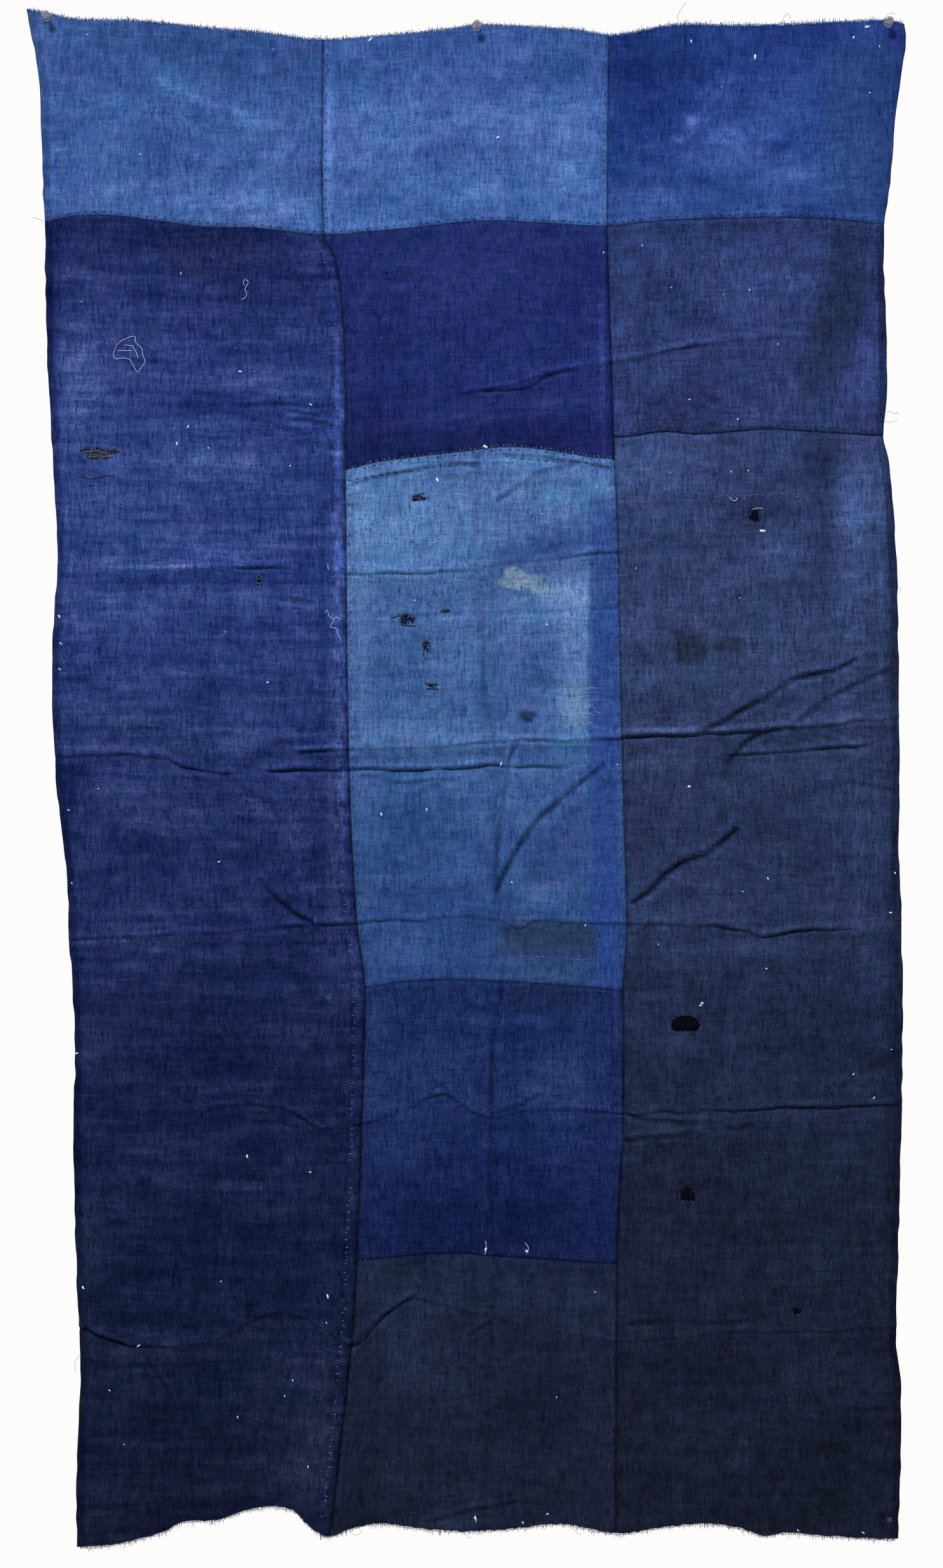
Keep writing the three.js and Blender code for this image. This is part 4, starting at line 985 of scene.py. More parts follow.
def pin_freedom(x, z):
    """Zero under each pin's collar, where the cloth is pressed flat, and one away from it."""
    free = 1.0
    for pin in PINS:
        gap = np.hypot(x - pin["x"], z - pin["z"])
        free = free * smooth_step((gap - COLLAR_RADIUS) / COLLAR_EASE)
    return free


# The lattice of points that all panels share

def crowded(share, crowding):
    """Shares drawn towards both ends of a band, where folds and seams lie."""
    return share - crowding * np.sin(2 * np.pi * share) / (2 * np.pi)


def lattice_lines(names, gaps, pitches, crowding):
    start, end, share = [], [], []
    for i, gap in enumerate(gaps):
        cells = max(1, round(gap / pitches[i]))
        shares = crowded(np.arange(cells) / cells, crowding)
        start += [i] * cells
        end += [i + 1] * cells
        share += list(shares)
    start.append(len(names) - 1)
    end.append(len(names) - 1)
    share.append(0.0)
    return np.array(start), np.array(end), np.array(share)


MIDDLE_Z = -0.8
upright_names = list(UPRIGHTS)
level_names = list(LEVELS)
upright_places = [float(UPRIGHT_CURVES[name](MIDDLE_Z)) for name in upright_names]
level_places = [float(LEVEL_CURVES[name](0.0)) for name in level_names]
column_lines = lattice_lines(upright_names, np.diff(upright_places), COLUMN_PITCHES, COLUMN_CROWDING)
row_pitches = [ROW_PITCH] * len(level_names)
row_lines = lattice_lines(level_names, -np.diff(level_places), row_pitches, ROW_CROWDING)
SETTLE_ROUNDS = 6


def settle_lattice():
    column_from, column_to, column_share = column_lines
    row_from, row_to, row_share = row_lines
    shape = (len(row_share), len(column_share))
    x, z = np.zeros(shape), np.zeros(shape)
    rows, columns = np.indices(shape)
    for _ in range(SETTLE_ROUNDS):
        places = np.stack([UPRIGHT_CURVES[name](z) for name in upright_names])
        left = places[column_from[columns], rows, columns]
        right = places[column_to[columns], rows, columns]
        x = left + (right - left) * column_share[columns]
        heights = np.stack([LEVEL_CURVES[name](x) for name in level_names])
        high = heights[row_from[rows], rows, columns]
        low = heights[row_to[rows], rows, columns]
        z = high + (low - high) * row_share[rows]
    return x, z


lattice_x, lattice_z = settle_lattice()


def line_index(lines, names, name):
    start, _, share = lines
    return int(np.nonzero((start == names.index(name)) & (share == 0))[0][0])


# Holes

HOLE_WOBBLE = 0.17
HOLE_RIPPLE = 0.13


def hole_reach(hole, angle):
    """How far the worn rim lies from the centre, as a share of the hole's half size."""
    ragged = 1 + HOLE_WOBBLE * np.sin(3 * angle + hole["x"] * 1000)
    ragged = ragged + HOLE_RIPPLE * np.cos(5 * angle + hole["z"] * 1000)
    if hole.get("arched"):
        floor_share = 0.7 / np.maximum(-np.sin(angle), 0.01)
        ragged = np.where(np.sin(angle) < 0, np.minimum(1.05, floor_share), 1.05)
    return ragged


def cell_corners(cells, shape):
    """The points at the corners of the chosen cells."""
    corners = np.zeros(shape, dtype=bool)
    for rows in (slice(None, -1), slice(1, None)):
        for columns in (slice(None, -1), slice(1, None)):
            corners[rows, columns] |= cells
    return corners


def cut_hole(hole, x, z, kept):
    """Takes the cells inside a hole out of kept, and draws the points at its rim onto it."""
    half_x, half_z = hole["width"] / 2, hole["height"] / 2
    centre_x = (x[:-1, :-1] + x[1:, 1:]) / 2 - hole["x"]
    centre_z = (z[:-1, :-1] + z[1:, 1:]) / 2 - hole["z"]
    angle = np.arctan2(centre_z / half_z, centre_x / half_x)
    inside = np.hypot(centre_x / half_x, centre_z / half_z) < hole_reach(hole, angle)
    kept &= ~inside
    rim = cell_corners(inside, x.shape) & cell_corners(kept, x.shape)
    from_x, from_z = x[rim] - hole["x"], z[rim] - hole["z"]
    rim_angle = np.arctan2(from_z / half_z, from_x / half_x)
    reach = hole_reach(hole, rim_angle)
    x[rim] = hole["x"] + half_x * reach * np.cos(rim_angle)
    z[rim] = hole["z"] + half_z * reach * np.sin(rim_angle)


# Building meshes

def add_object(name, data):
    obj = bpy.data.objects.new(name, data)
    bpy.context.scene.collection.objects.link(obj)
    return obj


def new_object(name, points, faces, material, colours=None, smooth=True):
    mesh = bpy.data.meshes.new(name)
    mesh.from_pydata(points, [], faces)
    mesh.update()
    if smooth:
        mesh.shade_smooth()
    if colours is not None:
        layer = mesh.color_attributes.new("dye_and_painted_light", "FLOAT_COLOR", "POINT")
        rgba = np.ones((len(points), 4), dtype=np.float32)
        rgba[:, :3] = colours
        layer.data.foreach_set("color", rgba.ravel())
    mesh.materials.append(material)
    return add_object(name, mesh)


def grid_normals(points):
    across = np.gradient(points, axis=1)
    down = np.gradient(points, axis=0)
    normal = np.cross(down, across)
    return normal / np.linalg.norm(normal, axis=2, keepdims=True)


def sheet_mesh(name, x, y, z, thickness, material, colours, kept=None):
    """A closed sheet about a grid of middle points, rows running down and columns right."""
    middle = np.stack([x, y, z], axis=2)
    normals = grid_normals(middle)
    tall, wide = x.shape
    points = np.concatenate([
        (middle + normals * thickness / 2).reshape(-1, 3),
        (middle - normals * thickness / 2).reshape(-1, 3),
    ])
    if kept is None:
        kept = np.ones((tall - 1, wide - 1), dtype=bool)
    index = np.arange(tall * wide).reshape(tall, wide)
    back = tall * wide
    a, b, c, d = index[:-1, :-1], index[1:, :-1], index[1:, 1:], index[:-1, 1:]
    faces = [
        np.stack([a, b, c, d], axis=2)[kept],
        np.stack([a, d, c, b], axis=2)[kept] + back,
    ]
    ringed = np.pad(kept, 1)
    sides = [
        (a, d, kept & ~ringed[:-2, 1:-1]),
        (c, b, kept & ~ringed[2:, 1:-1]),
        (b, a, kept & ~ringed[1:-1, :-2]),
        (d, c, kept & ~ringed[1:-1, 2:]),
    ]
    for start, end, open_side in sides:
        first, second = start[open_side], end[open_side]
        faces.append(np.stack([first, second, second + back, first + back], axis=1))
    faces = np.concatenate(faces)
    used = np.unique(faces)
    renumber = np.zeros(len(points), dtype=int)
    renumber[used] = np.arange(len(used))
    both = np.concatenate([colours.reshape(-1, 3)] * 2)
    return new_object(name, points[used], renumber[faces].tolist(), material, both[used])


def tube_faces(start, rings, sides):
    faces = []
    for ring in range(rings - 1):
        for side in range(sides):
            low = start + ring * sides
            after = (side + 1) % sides
            faces.append((low + side, low + after, low + sides + after, low + sides + side))
    faces.append(tuple(start + side for side in reversed(range(sides))))
    faces.append(tuple(start + (rings - 1) * sides + side for side in range(sides)))
    return faces


def threads_mesh(name, routes, radii, sides, material):
    """One mesh of many thin round threads, each along its own points. Radii may be one for all."""
    points, faces = [], []
    turns = [2 * math.pi * side / sides for side in range(sides)]
    for route, radius in zip(routes, np.broadcast_to(radii, (len(routes),))):
        route = np.asarray(route, dtype=float)
        along = np.gradient(route, axis=0)
        along /= np.linalg.norm(along, axis=1, keepdims=True) + 1e-12
        out = np.tile([0.0, 1.0, 0.0], (len(route), 1))
        across = np.cross(along, out)
        weak = np.linalg.norm(across, axis=1) < 0.1
        across[weak] = np.cross(along[weak], [1.0, 0.0, 0.0])
        across /= np.linalg.norm(across, axis=1, keepdims=True)
        rise = np.cross(across, along)
        faces += tube_faces(len(points), len(route), sides)
        for place, side_way, up_way in zip(route, across, rise):
            for turn in turns:
                points.append(place + radius * (math.cos(turn) * side_way + math.sin(turn) * up_way))
    return new_object(name, np.array(points), faces, material)


# Colour

def linear(colour):
    """Linear light from a colour written as 0 to 255."""
    share = np.asarray(colour, dtype=float) / 255
    return np.where(share <= 0.04045, share / 12.92, ((share + 0.055) / 1.055) ** 2.4)


PALE_GAIN = 0.75
VIOLET_CAST = np.array([0.13, -0.05, 0.0])
LOW_CAST_LOSS = 0.8
LOW_CAST_TOP = -0.95
LOW_CAST_SLOPE = 0.3
LEFT_CAST = 0.6
FINE_MOTTLE = 0.6
FADE_AND_SHADE_GAIN = 1.25
MARK_RAGGED = 0.35
OBLONG = 2.2
DYE_SEED = 100
DYE_SEED_STEP = 20
FADE_AND_SHADE_SEED = 300
STAIN_SEED = 500


def turned_shares(x, z, centre_x, centre_z, half_x, half_z, turn):
    """How far across and up a turned mark each point lies, as shares of its half sizes."""
    angle = math.radians(turn)
    from_x, from_z = x - centre_x, z - centre_z
    across = (from_x * math.cos(angle) + from_z * math.sin(angle)) / half_x
    up = (from_z * math.cos(angle) - from_x * math.sin(angle)) / half_z
    return across, up


def mark_cover(x, z, centre_x, centre_z, half_x, half_z, turn, seed):
    """One inside a soft, uneven oval mark and zero outside it."""
    across, up = turned_shares(x, z, centre_x, centre_z, half_x, half_z, turn)
    grain = min(half_x, half_z)
    uneven = MARK_RAGGED * cloud(x, z, max(grain, 0.004), max(grain, 0.004), seed)
    return np.exp(-(across ** 2 + up ** 2) * (1 + uneven)) * (1 + 0.5 * uneven)


def stain_cover(x, z, centre_x, centre_z, half_x, half_z, turn, seed):
    """Nearly even inside a ragged rim, unlike a soft mark."""
    across, up = np.abs(turned_shares(x, z, centre_x, centre_z, half_x, half_z, turn))
    oblong = max(half_x, half_z) > OBLONG * min(half_x, half_z)
    power, softness = (6, 0.25) if oblong else (2.5, 0.5)
    reach = (across ** power + up ** power) ** (1 / power)
    ragged = 0.2 * layered_cloud(x, z, 0.012, 0.012, seed) + 0.3 * cloud(x, z, 0.02, 0.005, seed + 7)
    reach = reach + ragged * (0.3 if oblong else 1.0)
    streaks = 1 - 0.3 * np.abs(cloud(x, z, 0.0045, 0.02, seed + 9) + cloud(x, z, 0.006, 0.005, seed + 10))
    return smooth_step((1.1 + softness / 5 - reach) / softness) * (1.0 if oblong else streaks)


def dye_and_painted_light(panel, x, z):
    """The panel's colour at each point, in linear light."""
    stops = PALETTES[panel]
    heights = [-height for height, _ in stops]
    colours = linear([colour for _, colour in stops])
    base = np.stack([np.interp(-z, heights, colours[:, i]) for i in range(3)], axis=-1)
    seed = DYE_SEED + [row[0] for row in PANELS].index(panel) * DYE_SEED_STEP
    streak = STREAKS.get(panel, PLAIN_STREAK)
    mottle = MOTTLE.get(panel, PLAIN_MOTTLE)
    level = mottle * layered_cloud(x, z, 0.06, 0.05, seed)
    level = level + FINE_MOTTLE * mottle * cloud(x, z, 0.012, 0.010, seed + 4)
    level = level + streak * layered_cloud(x, z, 0.09, 0.007, seed + 5)
    level = level + 0.12 * cloud(x, z, 0.0045, 0.12, seed + 8)
    level = level + 0.08 * cloud(x, z, 0.012, 0.2, seed + 9)
    # Faded places in the dye, and a few places of painted shade
    for number, (name, *oval, strength) in enumerate(FADES_AND_PAINTED_SHADE):
        if name == panel:
            level = level + FADE_AND_SHADE_GAIN * strength * mark_cover(x, z, *oval, FADE_AND_SHADE_SEED + number)
    response = np.array(RESPONSES.get(panel, PLAIN_RESPONSE))
    colour = base * np.exp(PALE_GAIN * level[..., None] * response)
    cast = layered_cloud(x, z, 0.05, 0.07, seed + 11) + 0.7 * cloud(x, z, 0.016, 0.02, seed + 14)
    cast = cast * (1 - LOW_CAST_LOSS * smooth_step((LOW_CAST_TOP - z) / LOW_CAST_SLOPE))
    cast = cast * (LEFT_CAST if panel == "left_long" else 1.0)
    colour = colour * np.exp(cast[..., None] * VIOLET_CAST)
    for number, (name, *oval, tint, share) in enumerate(STAINS):
        if name == panel:
            cover = share * stain_cover(x, z, *oval, STAIN_SEED + number)
            colour = colour + (linear(tint) - colour) * cover[..., None]
    return colour


# How worn the left long seam is: height z and strength

SEAM_WEAR = [
    (-1.75, 0.7), (-1.2, 0.6), (-0.95, 0.85), (-0.7, 0.85), (-0.5, 1.0), (-0.38, 0.9), (-0.27, 0.5),
]
SEAM_WEAR_WIDTH = 0.022
SEAM_WEAR_SLOPE = 0.006
FULL_PINCH = 0.002
# Painted shade in the grooves of folds and creases and along the middle fold, and painted highlight on their
# ridges and crests
GROOVE_SHADE = 0.6
RIDGE_HIGHLIGHT = 0.3
FOLD_SHADE = 0.1
FOLD_SHADE_WIDTH = 0.003
CREASE_SHADE = 0.8
CREST_HIGHLIGHT = 0.22
CREST_OFF = 0.0055
CREST_WIDTH = 0.0022
MIDDLE_SHADE = 0.35
MIDDLE_SHADE_WIDTH = 0.004
MIDDLE_FOLD_TOP = -0.49

# Pale and dark lines along the left long seam: strength, how far off the seam, and width

SEAM_PALE = (0.4, 0.0105, 0.0045)
SEAM_LINES = [(0.4, BORDER_WIDTH, 0.002), (0.3, 0.003, 0.003)]

# Pale bands beside other seams: the seam, the side, strength, how far off, width, then how
# patchy, how tall the patches are, and their seed

BAND_PATCH_WIDE = 0.006
PALE_BANDS = {
    "top_middle": ("leftSeam", 1, 0.22, 0.0075, 0.0038, 0.7, 0.012, 93),
    "middle_navy": ("rightSeam", -1, 0.3, 0.0115, 0.0035, 1.0, 0.009, 94),
}


def painted_shade_and_wear_along_lines(colour, panel_row, x, z):
    """Paler crests and darker grooves along folds and creases, painted highlight and painted shade that
    partly stand for wear and dirt too, and marks along the seams.
    """
    level = np.zeros(x.shape)
    swerve, uneven = wander(x, z), unevenness(x, z)
    for name, pinch in PINCHES.items():
        rise = z - LEVEL_CURVES[name](x) + swerve
        depth = make_ramp(pinch)(x) / FULL_PINCH * uneven
        # Painted shade in the groove under the crest, painted highlight on the ridge above it
        level -= GROOVE_SHADE * depth * bell(rise + PINCH_DROP, PINCH_WIDTH)
        level += RIDGE_HIGHLIGHT * depth * bell(rise - RIDGE_RISE, RIDGE_WIDTH)
        level += FOLD_SHADE * bell(rise, FOLD_SHADE_WIDTH) * cloud(x, z, 0.03, 0.02, 77)
    for _, line, _, _, pinch, width in CREASES:
        gap = distance_to_line(line, x + swerve, z + swerve)
        # Painted shade along each crease, painted highlight on the crest beside it
        level -= CREASE_SHADE * pinch / FULL_PINCH * uneven * bell(gap, width)
        level += CREST_HIGHLIGHT * uneven * bell(gap - CREST_OFF, CREST_WIDTH)
    if panel_row[0] == "left_long":
        edge = UPRIGHT_CURVES["leftSeam"](z) - x
        ticks = cloud(x, z, 0.0052, 0.006, 91) + 0.6 * cloud(x, z, 0.004, 0.022, 92)
        wear = make_ramp(SEAM_WEAR)(z)
        level += wear * smooth_step((SEAM_WEAR_WIDTH - edge) / SEAM_WEAR_SLOPE) * (0.02 + 0.7 * ticks)
        strength, off, width = SEAM_PALE
        level += strength * wear * bell(edge - off, width)
        for strength, off, width in SEAM_LINES:
            level -= strength * bell(edge - off, width)
    if panel_row[0] in PALE_BANDS:
        line, side, strength, off, width, patchy, tall, seed = PALE_BANDS[panel_row[0]]
        edge = side * (x - UPRIGHT_CURVES[line](z))
        patches = cloud(x, z, BAND_PATCH_WIDE, tall, seed)
        level += strength * bell(edge - off, width) * (1 + patchy * patches)
    # Painted shade along the middle fold
    middle = np.abs(x - UPRIGHT_CURVES["middleFold"](z))
    in_middle = (z < MIDDLE_FOLD_TOP) & (panel_row[2] == "leftSeam")
    level -= MIDDLE_SHADE * in_middle * uneven * bell(middle, MIDDLE_SHADE_WIDTH)
    return colour * np.exp(PALE_GAIN * level)[..., None]


# Materials

def link_socket(tree, out_node, out_name, in_node, in_name):
    tree.links.new(out_node.outputs[out_name], in_node.inputs[in_name])


def math_node(tree, operation, first, second):
    node = tree.nodes.new("ShaderNodeMath")
    node.operation = operation
    for socket, value in zip(node.inputs, (first, second)):
        if isinstance(value, (int, float)):
            socket.default_value = value
        else:
            tree.links.new(value, socket)
    return node.outputs[0]


def weighted_sum(tree, *parts):
    """The sum of some sockets, each times its own weight."""
    total = None
    for socket, weight in parts:
        term = math_node(tree, "MULTIPLY", socket, weight)
        total = term if total is None else math_node(tree, "ADD", total, term)
    return total


def object_place(tree):
    return tree.nodes.new("ShaderNodeTexCoord").outputs["Object"]


def add_bump(tree, shader, height, strength, distance):
    bump = tree.nodes.new("ShaderNodeBump")
    bump.inputs["Strength"].default_value = strength
    bump.inputs["Distance"].default_value = distance
    tree.links.new(height, bump.inputs["Height"])
    link_socket(tree, bump, "Normal", shader, "Normal")


def add_ramp(tree, shader, noise, dark, pale, start=0.0, end=1.0):
    """Colours a surface from dark to pale by a noise."""
    ramp = tree.nodes.new("ShaderNodeValToRGB")
    for element, position, colour in zip(ramp.color_ramp.elements, (start, end), (dark, pale)):
        element.position = position
        element.color = (*colour, 1)
    tree.links.new(noise, ramp.inputs["Fac"])
    link_socket(tree, ramp, "Color", shader, "Base Color")


def stretched_noise(tree, place, scale, detail):
    """Noise whose grains are as long as one over each scale, in metres."""
    mapping = tree.nodes.new("ShaderNodeVectorMath")
    mapping.operation = "MULTIPLY"
    mapping.inputs[1].default_value = scale
    tree.links.new(place, mapping.inputs[0])
    noise = tree.nodes.new("ShaderNodeTexNoise")
    noise.inputs["Scale"].default_value = 1.0
    noise.inputs["Detail"].default_value = detail
    tree.links.new(mapping.outputs[0], noise.inputs["Vector"])
    return noise.outputs["Fac"]


YARN_PITCH = 0.00085
WOVEN_MIDDLE = 0.85
SLUB_FLOOR = 0.66
DARKEST = -0.62


def yarn_wave(tree, place, direction):
    wave = tree.nodes.new("ShaderNodeTexWave")
    wave.bands_direction = direction
    wave.inputs["Scale"].default_value = math.pi / 10 / YARN_PITCH
    wave.inputs["Distortion"].default_value = 1.2
    wave.inputs["Detail Scale"].default_value = 0.4
    tree.links.new(place, wave.inputs["Vector"])
    return wave.outputs["Fac"]


def new_material(name):
    material = bpy.data.materials.new(name)
    material.use_nodes = True
    return material, material.node_tree, material.node_tree.nodes["Principled BSDF"]


def cloth_material(name, grain, specks, response=PLAIN_RESPONSE):
    """Hand-spun plain weave: the colour of each point, its dye with painted shade and highlight, streaked by
    its yarns.
    """
    material, tree, shader = new_material(name)
    place = object_place(tree)
    colour = tree.nodes.new("ShaderNodeAttribute")
    # The vertex colour holds the dye with painted shade and painted highlight
    colour.attribute_name = "dye_and_painted_light"
    warp = stretched_noise(tree, place, (900, 900, 75), 2)
    weft = stretched_noise(tree, place, (75, 900, 900), 2)
    fuzz = stretched_noise(tree, place, (420, 420, 420), 3)
    coarse = stretched_noise(tree, place, (300, 300, 45), 3)
    banded = stretched_noise(tree, place, (38, 300, 260), 3)
    woven = weighted_sum(tree, (warp, 0.5), (weft, 0.26), (fuzz, 0.34), (coarse, 0.36), (banded, 0.24))
    spread = math_node(tree, "MULTIPLY", math_node(tree, "SUBTRACT", woven, WOVEN_MIDDLE), grain)
    slub = stretched_noise(tree, place, (330, 330, 180), 1)
    slub = math_node(tree, "MULTIPLY", math_node(tree, "SUBTRACT", slub, SLUB_FLOOR), specks)
    slub = math_node(tree, "MAXIMUM", slub, 0.0)
    change = math_node(tree, "MAXIMUM", math_node(tree, "ADD", spread, slub), DARKEST)
    gain = tree.nodes.new("ShaderNodeVectorMath")
    gain.operation = "MULTIPLY_ADD"
    tree.links.new(change, gain.inputs[0])
    gain.inputs[1].default_value = response
    gain.inputs[2].default_value = (1, 1, 1)
    scaled = tree.nodes.new("ShaderNodeVectorMath")
    scaled.operation = "MULTIPLY"
    link_socket(tree, colour, "Color", scaled, 0)
    link_socket(tree, gain, 0, scaled, 1)
    link_socket(tree, scaled, 0, shader, "Base Color")
    yarns = math_node(tree, "MAXIMUM", yarn_wave(tree, place, "X"), yarn_wave(tree, place, "Z"))
    pebbles = stretched_noise(tree, place, (150, 150, 190), 3)
    height = weighted_sum(tree, (yarns, 0.4), (fuzz, 0.8), (pebbles, 2.4))
    add_bump(tree, shader, height, 0.8, 0.0005)
    shader.inputs["Roughness"].default_value = 0.95
    shader.inputs["Specular IOR Level"].default_value = 0.03
    return material


def thread_material(name, colour, spread):
    material, tree, shader = new_material(name)
    place = object_place(tree)
    noise = stretched_noise(tree, place, (260, 260, 260), 2)
    dark, pale = linear(colour) * (1 - spread), np.minimum(linear(colour) * (1 + spread), 1)
    add_ramp(tree, shader, noise, dark, pale, 0.35, 0.65)
    shader.inputs["Roughness"].default_value = 0.85
    shader.inputs["Sheen Weight"].default_value = 0.1
    return material


def clear_plastic():
    material, tree, shader = new_material("clear_plastic")
    place = object_place(tree)
    noise = stretched_noise(tree, place, (300, 300, 300), 1)
    add_bump(tree, shader, noise, 0.05, 0.0002)
    shader.inputs["Base Color"].default_value = (0.95, 0.97, 0.98, 1)
    shader.inputs["Transmission Weight"].default_value = 0.9
    shader.inputs["Roughness"].default_value = 0.06
    shader.inputs["IOR"].default_value = 1.49
    return material


def pin_steel():
    material, tree, shader = new_material("pin_steel")
    place = object_place(tree)
    noise = stretched_noise(tree, place, (4000, 200, 4000), 2)
    rough = math_node(tree, "ADD", math_node(tree, "MULTIPLY", noise, 0.2), 0.2)
    tree.links.new(rough, shader.inputs["Roughness"])
    shader.inputs["Base Color"].default_value = (0.62, 0.63, 0.65, 1)
    shader.inputs["Metallic"].default_value = 1.0
    return material


def floor_material():
    material, tree, shader = new_material("pale_floor")
    place = object_place(tree)
    noise = stretched_noise(tree, place, (9, 9, 9), 3)
    add_ramp(tree, shader, noise, (0.80, 0.79, 0.76), (0.86, 0.85, 0.82))
    shader.inputs["Roughness"].default_value = 0.8
    return material


# Camera, light and floor

def make_camera():
    data = bpy.data.cameras.new("camera")
    data.sensor_fit = "VERTICAL"
    data.sensor_height = 24
    data.lens = data.sensor_height * EYE_DISTANCE / (IMAGE_HEIGHT * METRES_PER_PIXEL)
    camera = add_object("camera", data)
    camera.location = (EYE_X, -EYE_DISTANCE, EYE_Z)
    camera.rotation_euler = (math.pi / 2, 0, 0)
    bpy.context.scene.camera = camera


def area_light(name, place, aim, size, watts, colour):
    data = bpy.data.lights.new(name, "AREA")
    data.shape = "DISK"
    data.size = size
    data.energy = watts
    data.color = colour
    light = add_object(name, data)
    light.location = place
    way = np.array(aim) - np.array(place)
    tilt = math.acos(-way[2] / np.linalg.norm(way))
    light.rotation_euler = (tilt, 0, math.atan2(way[1], way[0]) - math.pi / 2)


SUN_ELEVATION = 46
SUN_AZIMUTH = 26
SUN_STRENGTH = 3.25
SUN_SPREAD = 9


def make_sun():
    """Even light from the upper left, soft enough for blurred shadows."""
    data = bpy.data.lights.new("key", "SUN")
    data.energy = SUN_STRENGTH
    data.angle = math.radians(SUN_SPREAD)
    data.color = (1.0, 0.985, 0.96)
    sun = add_object("key", data)
    sun.rotation_euler = (math.radians(90 - SUN_ELEVATION), 0, math.radians(-SUN_AZIMUTH))


BACKGROUND = (0.98, 0.975, 0.965, 1)
AMBIENT_STRENGTH = 0.24


def make_world():
    """Pale all round to the eye, and a softer light to the cloth."""
    world = bpy.data.worlds.new("studio")
    bpy.context.scene.world = world
    world.use_nodes = True
    tree = world.node_tree
    seen = tree.nodes["Background"]
    seen.inputs["Color"].default_value = BACKGROUND
    seen.inputs["Strength"].default_value = 1.0
    ambient = tree.nodes.new("ShaderNodeBackground")
    ambient.inputs["Color"].default_value = (0.96, 0.98, 1.0, 1)
    ambient.inputs["Strength"].default_value = AMBIENT_STRENGTH
    rays = tree.nodes.new("ShaderNodeLightPath")
    mixed = tree.nodes.new("ShaderNodeMixShader")
    link_socket(tree, rays, "Is Camera Ray", mixed, "Fac")
    tree.links.new(ambient.outputs[0], mixed.inputs[1])
    tree.links.new(seen.outputs[0], mixed.inputs[2])
    tree.links.new(mixed.outputs[0], tree.nodes["World Output"].inputs["Surface"])


def make_floor():
    sides = 96
    angles = [2 * math.pi * i / sides for i in range(sides)]
    rim = [(FLOOR_RADIUS * math.cos(a), FLOOR_RADIUS * math.sin(a), FLOOR_Z) for a in angles]
    low = [(x, y, z - 0.02) for x, y, z in rim]
    faces = [tuple(range(sides)), tuple(reversed(range(sides, 2 * sides)))]
    for i in range(sides):
        after = (i + 1) % sides
        faces.append((i, sides + i, sides + after, after))
    floor = new_object("floor", rim + low, faces, floor_material(), smooth=False)


make_camera()
make_world()
make_sun()
area_light("fill", (1.9, -2.6, -0.6), (0, 0, -0.9), 1.8, 11, (0.95, 0.97, 1.0))
area_light("back", (0.8, 2.6, 0.4), (0, 0, -0.9), 1.6, 45, (1.0, 0.99, 0.97))
make_floor()
bpy.context.scene.view_settings.view_transform = "Standard"


# The panels

EDGE_SEED = 900
TOP_RAGGED = 0.0016
HEM_RAGGED = 0.0018


def panel_grid(panel_row):
    _, _, left, right, top, bottom = panel_row
    first_column = line_index(column_lines, upright_names, left)
    last_column = line_index(column_lines, upright_names, right)
    first_row = line_index(row_lines, level_names, top)
    last_row = line_index(row_lines, level_names, bottom)
    part = (slice(first_row, last_row + 1), slice(first_column, last_column + 1))
    x, z = lattice_x[part].copy(), lattice_z[part].copy()
    draws = np.random.default_rng(EDGE_SEED + first_row + first_column)
    x[:, 0] += SEAM_GAP / 2
    x[:, -1] -= SEAM_GAP / 2
    z[0] -= SEAM_GAP / 2
    z[-1] += SEAM_GAP / 2
    for line in (left, right):
        if line in FREE_LINES:
            gap = np.abs(x - UPRIGHT_CURVES[line](z))
            x += EDGE_WOBBLE * line_cloud(z, 0.014, 31) * np.exp(-gap / HEM_ROLL_WIDTH)
    if top == "topEdge":
        z[0] -= draws.uniform(0, TOP_RAGGED, x.shape[1])
    if bottom == "hem":
        z[-1] += draws.uniform(0, HEM_RAGGED, x.shape[1])
    return x, z


cloth_materials = {
    "indigo_mid": cloth_material("indigo_mid", 3.1, 3.8),
    "indigo_dark": cloth_material("indigo_dark", 3.9, 5.4),
    "indigo_navy": cloth_material("indigo_navy", 3.4, 4.2),
    "indigo_light": cloth_material("indigo_light", 3.0, 3.6),
    "indigo_charcoal": cloth_material("indigo_charcoal", 3.4, 4.0, GREY_RESPONSE),
    "indigo_grey": cloth_material("indigo_grey", 3.5, 4.4, GREY_RESPONSE),
    "backing_cloth": cloth_material("backing_cloth", 1.8, 2.0, GREY_RESPONSE),
}


def make_panel(panel_row):
    name, slot = panel_row[:2]
    x, z = panel_grid(panel_row)
    kept = np.ones((x.shape[0] - 1, x.shape[1] - 1), dtype=bool)
    for hole in WORN_HOLES:
        if hole["panel"] == name:
            cut_hole(hole, x, z, kept)
    for pin in PINS:
        if pin["panel"] == name:
            gap = np.hypot(x - pin["x"], z - pin["z"])
            nearest = np.unravel_index(np.argmin(gap), gap.shape)
            x[nearest], z[nearest] = pin["x"], pin["z"]
    # Dye, with painted shade in grooves, creases and seams and painted highlight on crests
    colours = painted_shade_and_wear_along_lines(dye_and_painted_light(name, x, z), panel_row, x, z)
    colours = colours * edge_shade(panel_row, x, z)[..., None]
    material = cloth_materials[slot]
    piece = sheet_mesh(name + "_cloth", x, -lift(x, z), z, CLOTH_THICKNESS, material, colours, kept)
    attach(piece, "root")
    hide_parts(name)


HEM_SHADE = 0.32
HEM_SHADE_SLOPE = 0.002
HEM_LINE_SHADE = 0.2
HEM_LINE_OFF = 0.002
HEM_LINE_WIDTH = 0.0016
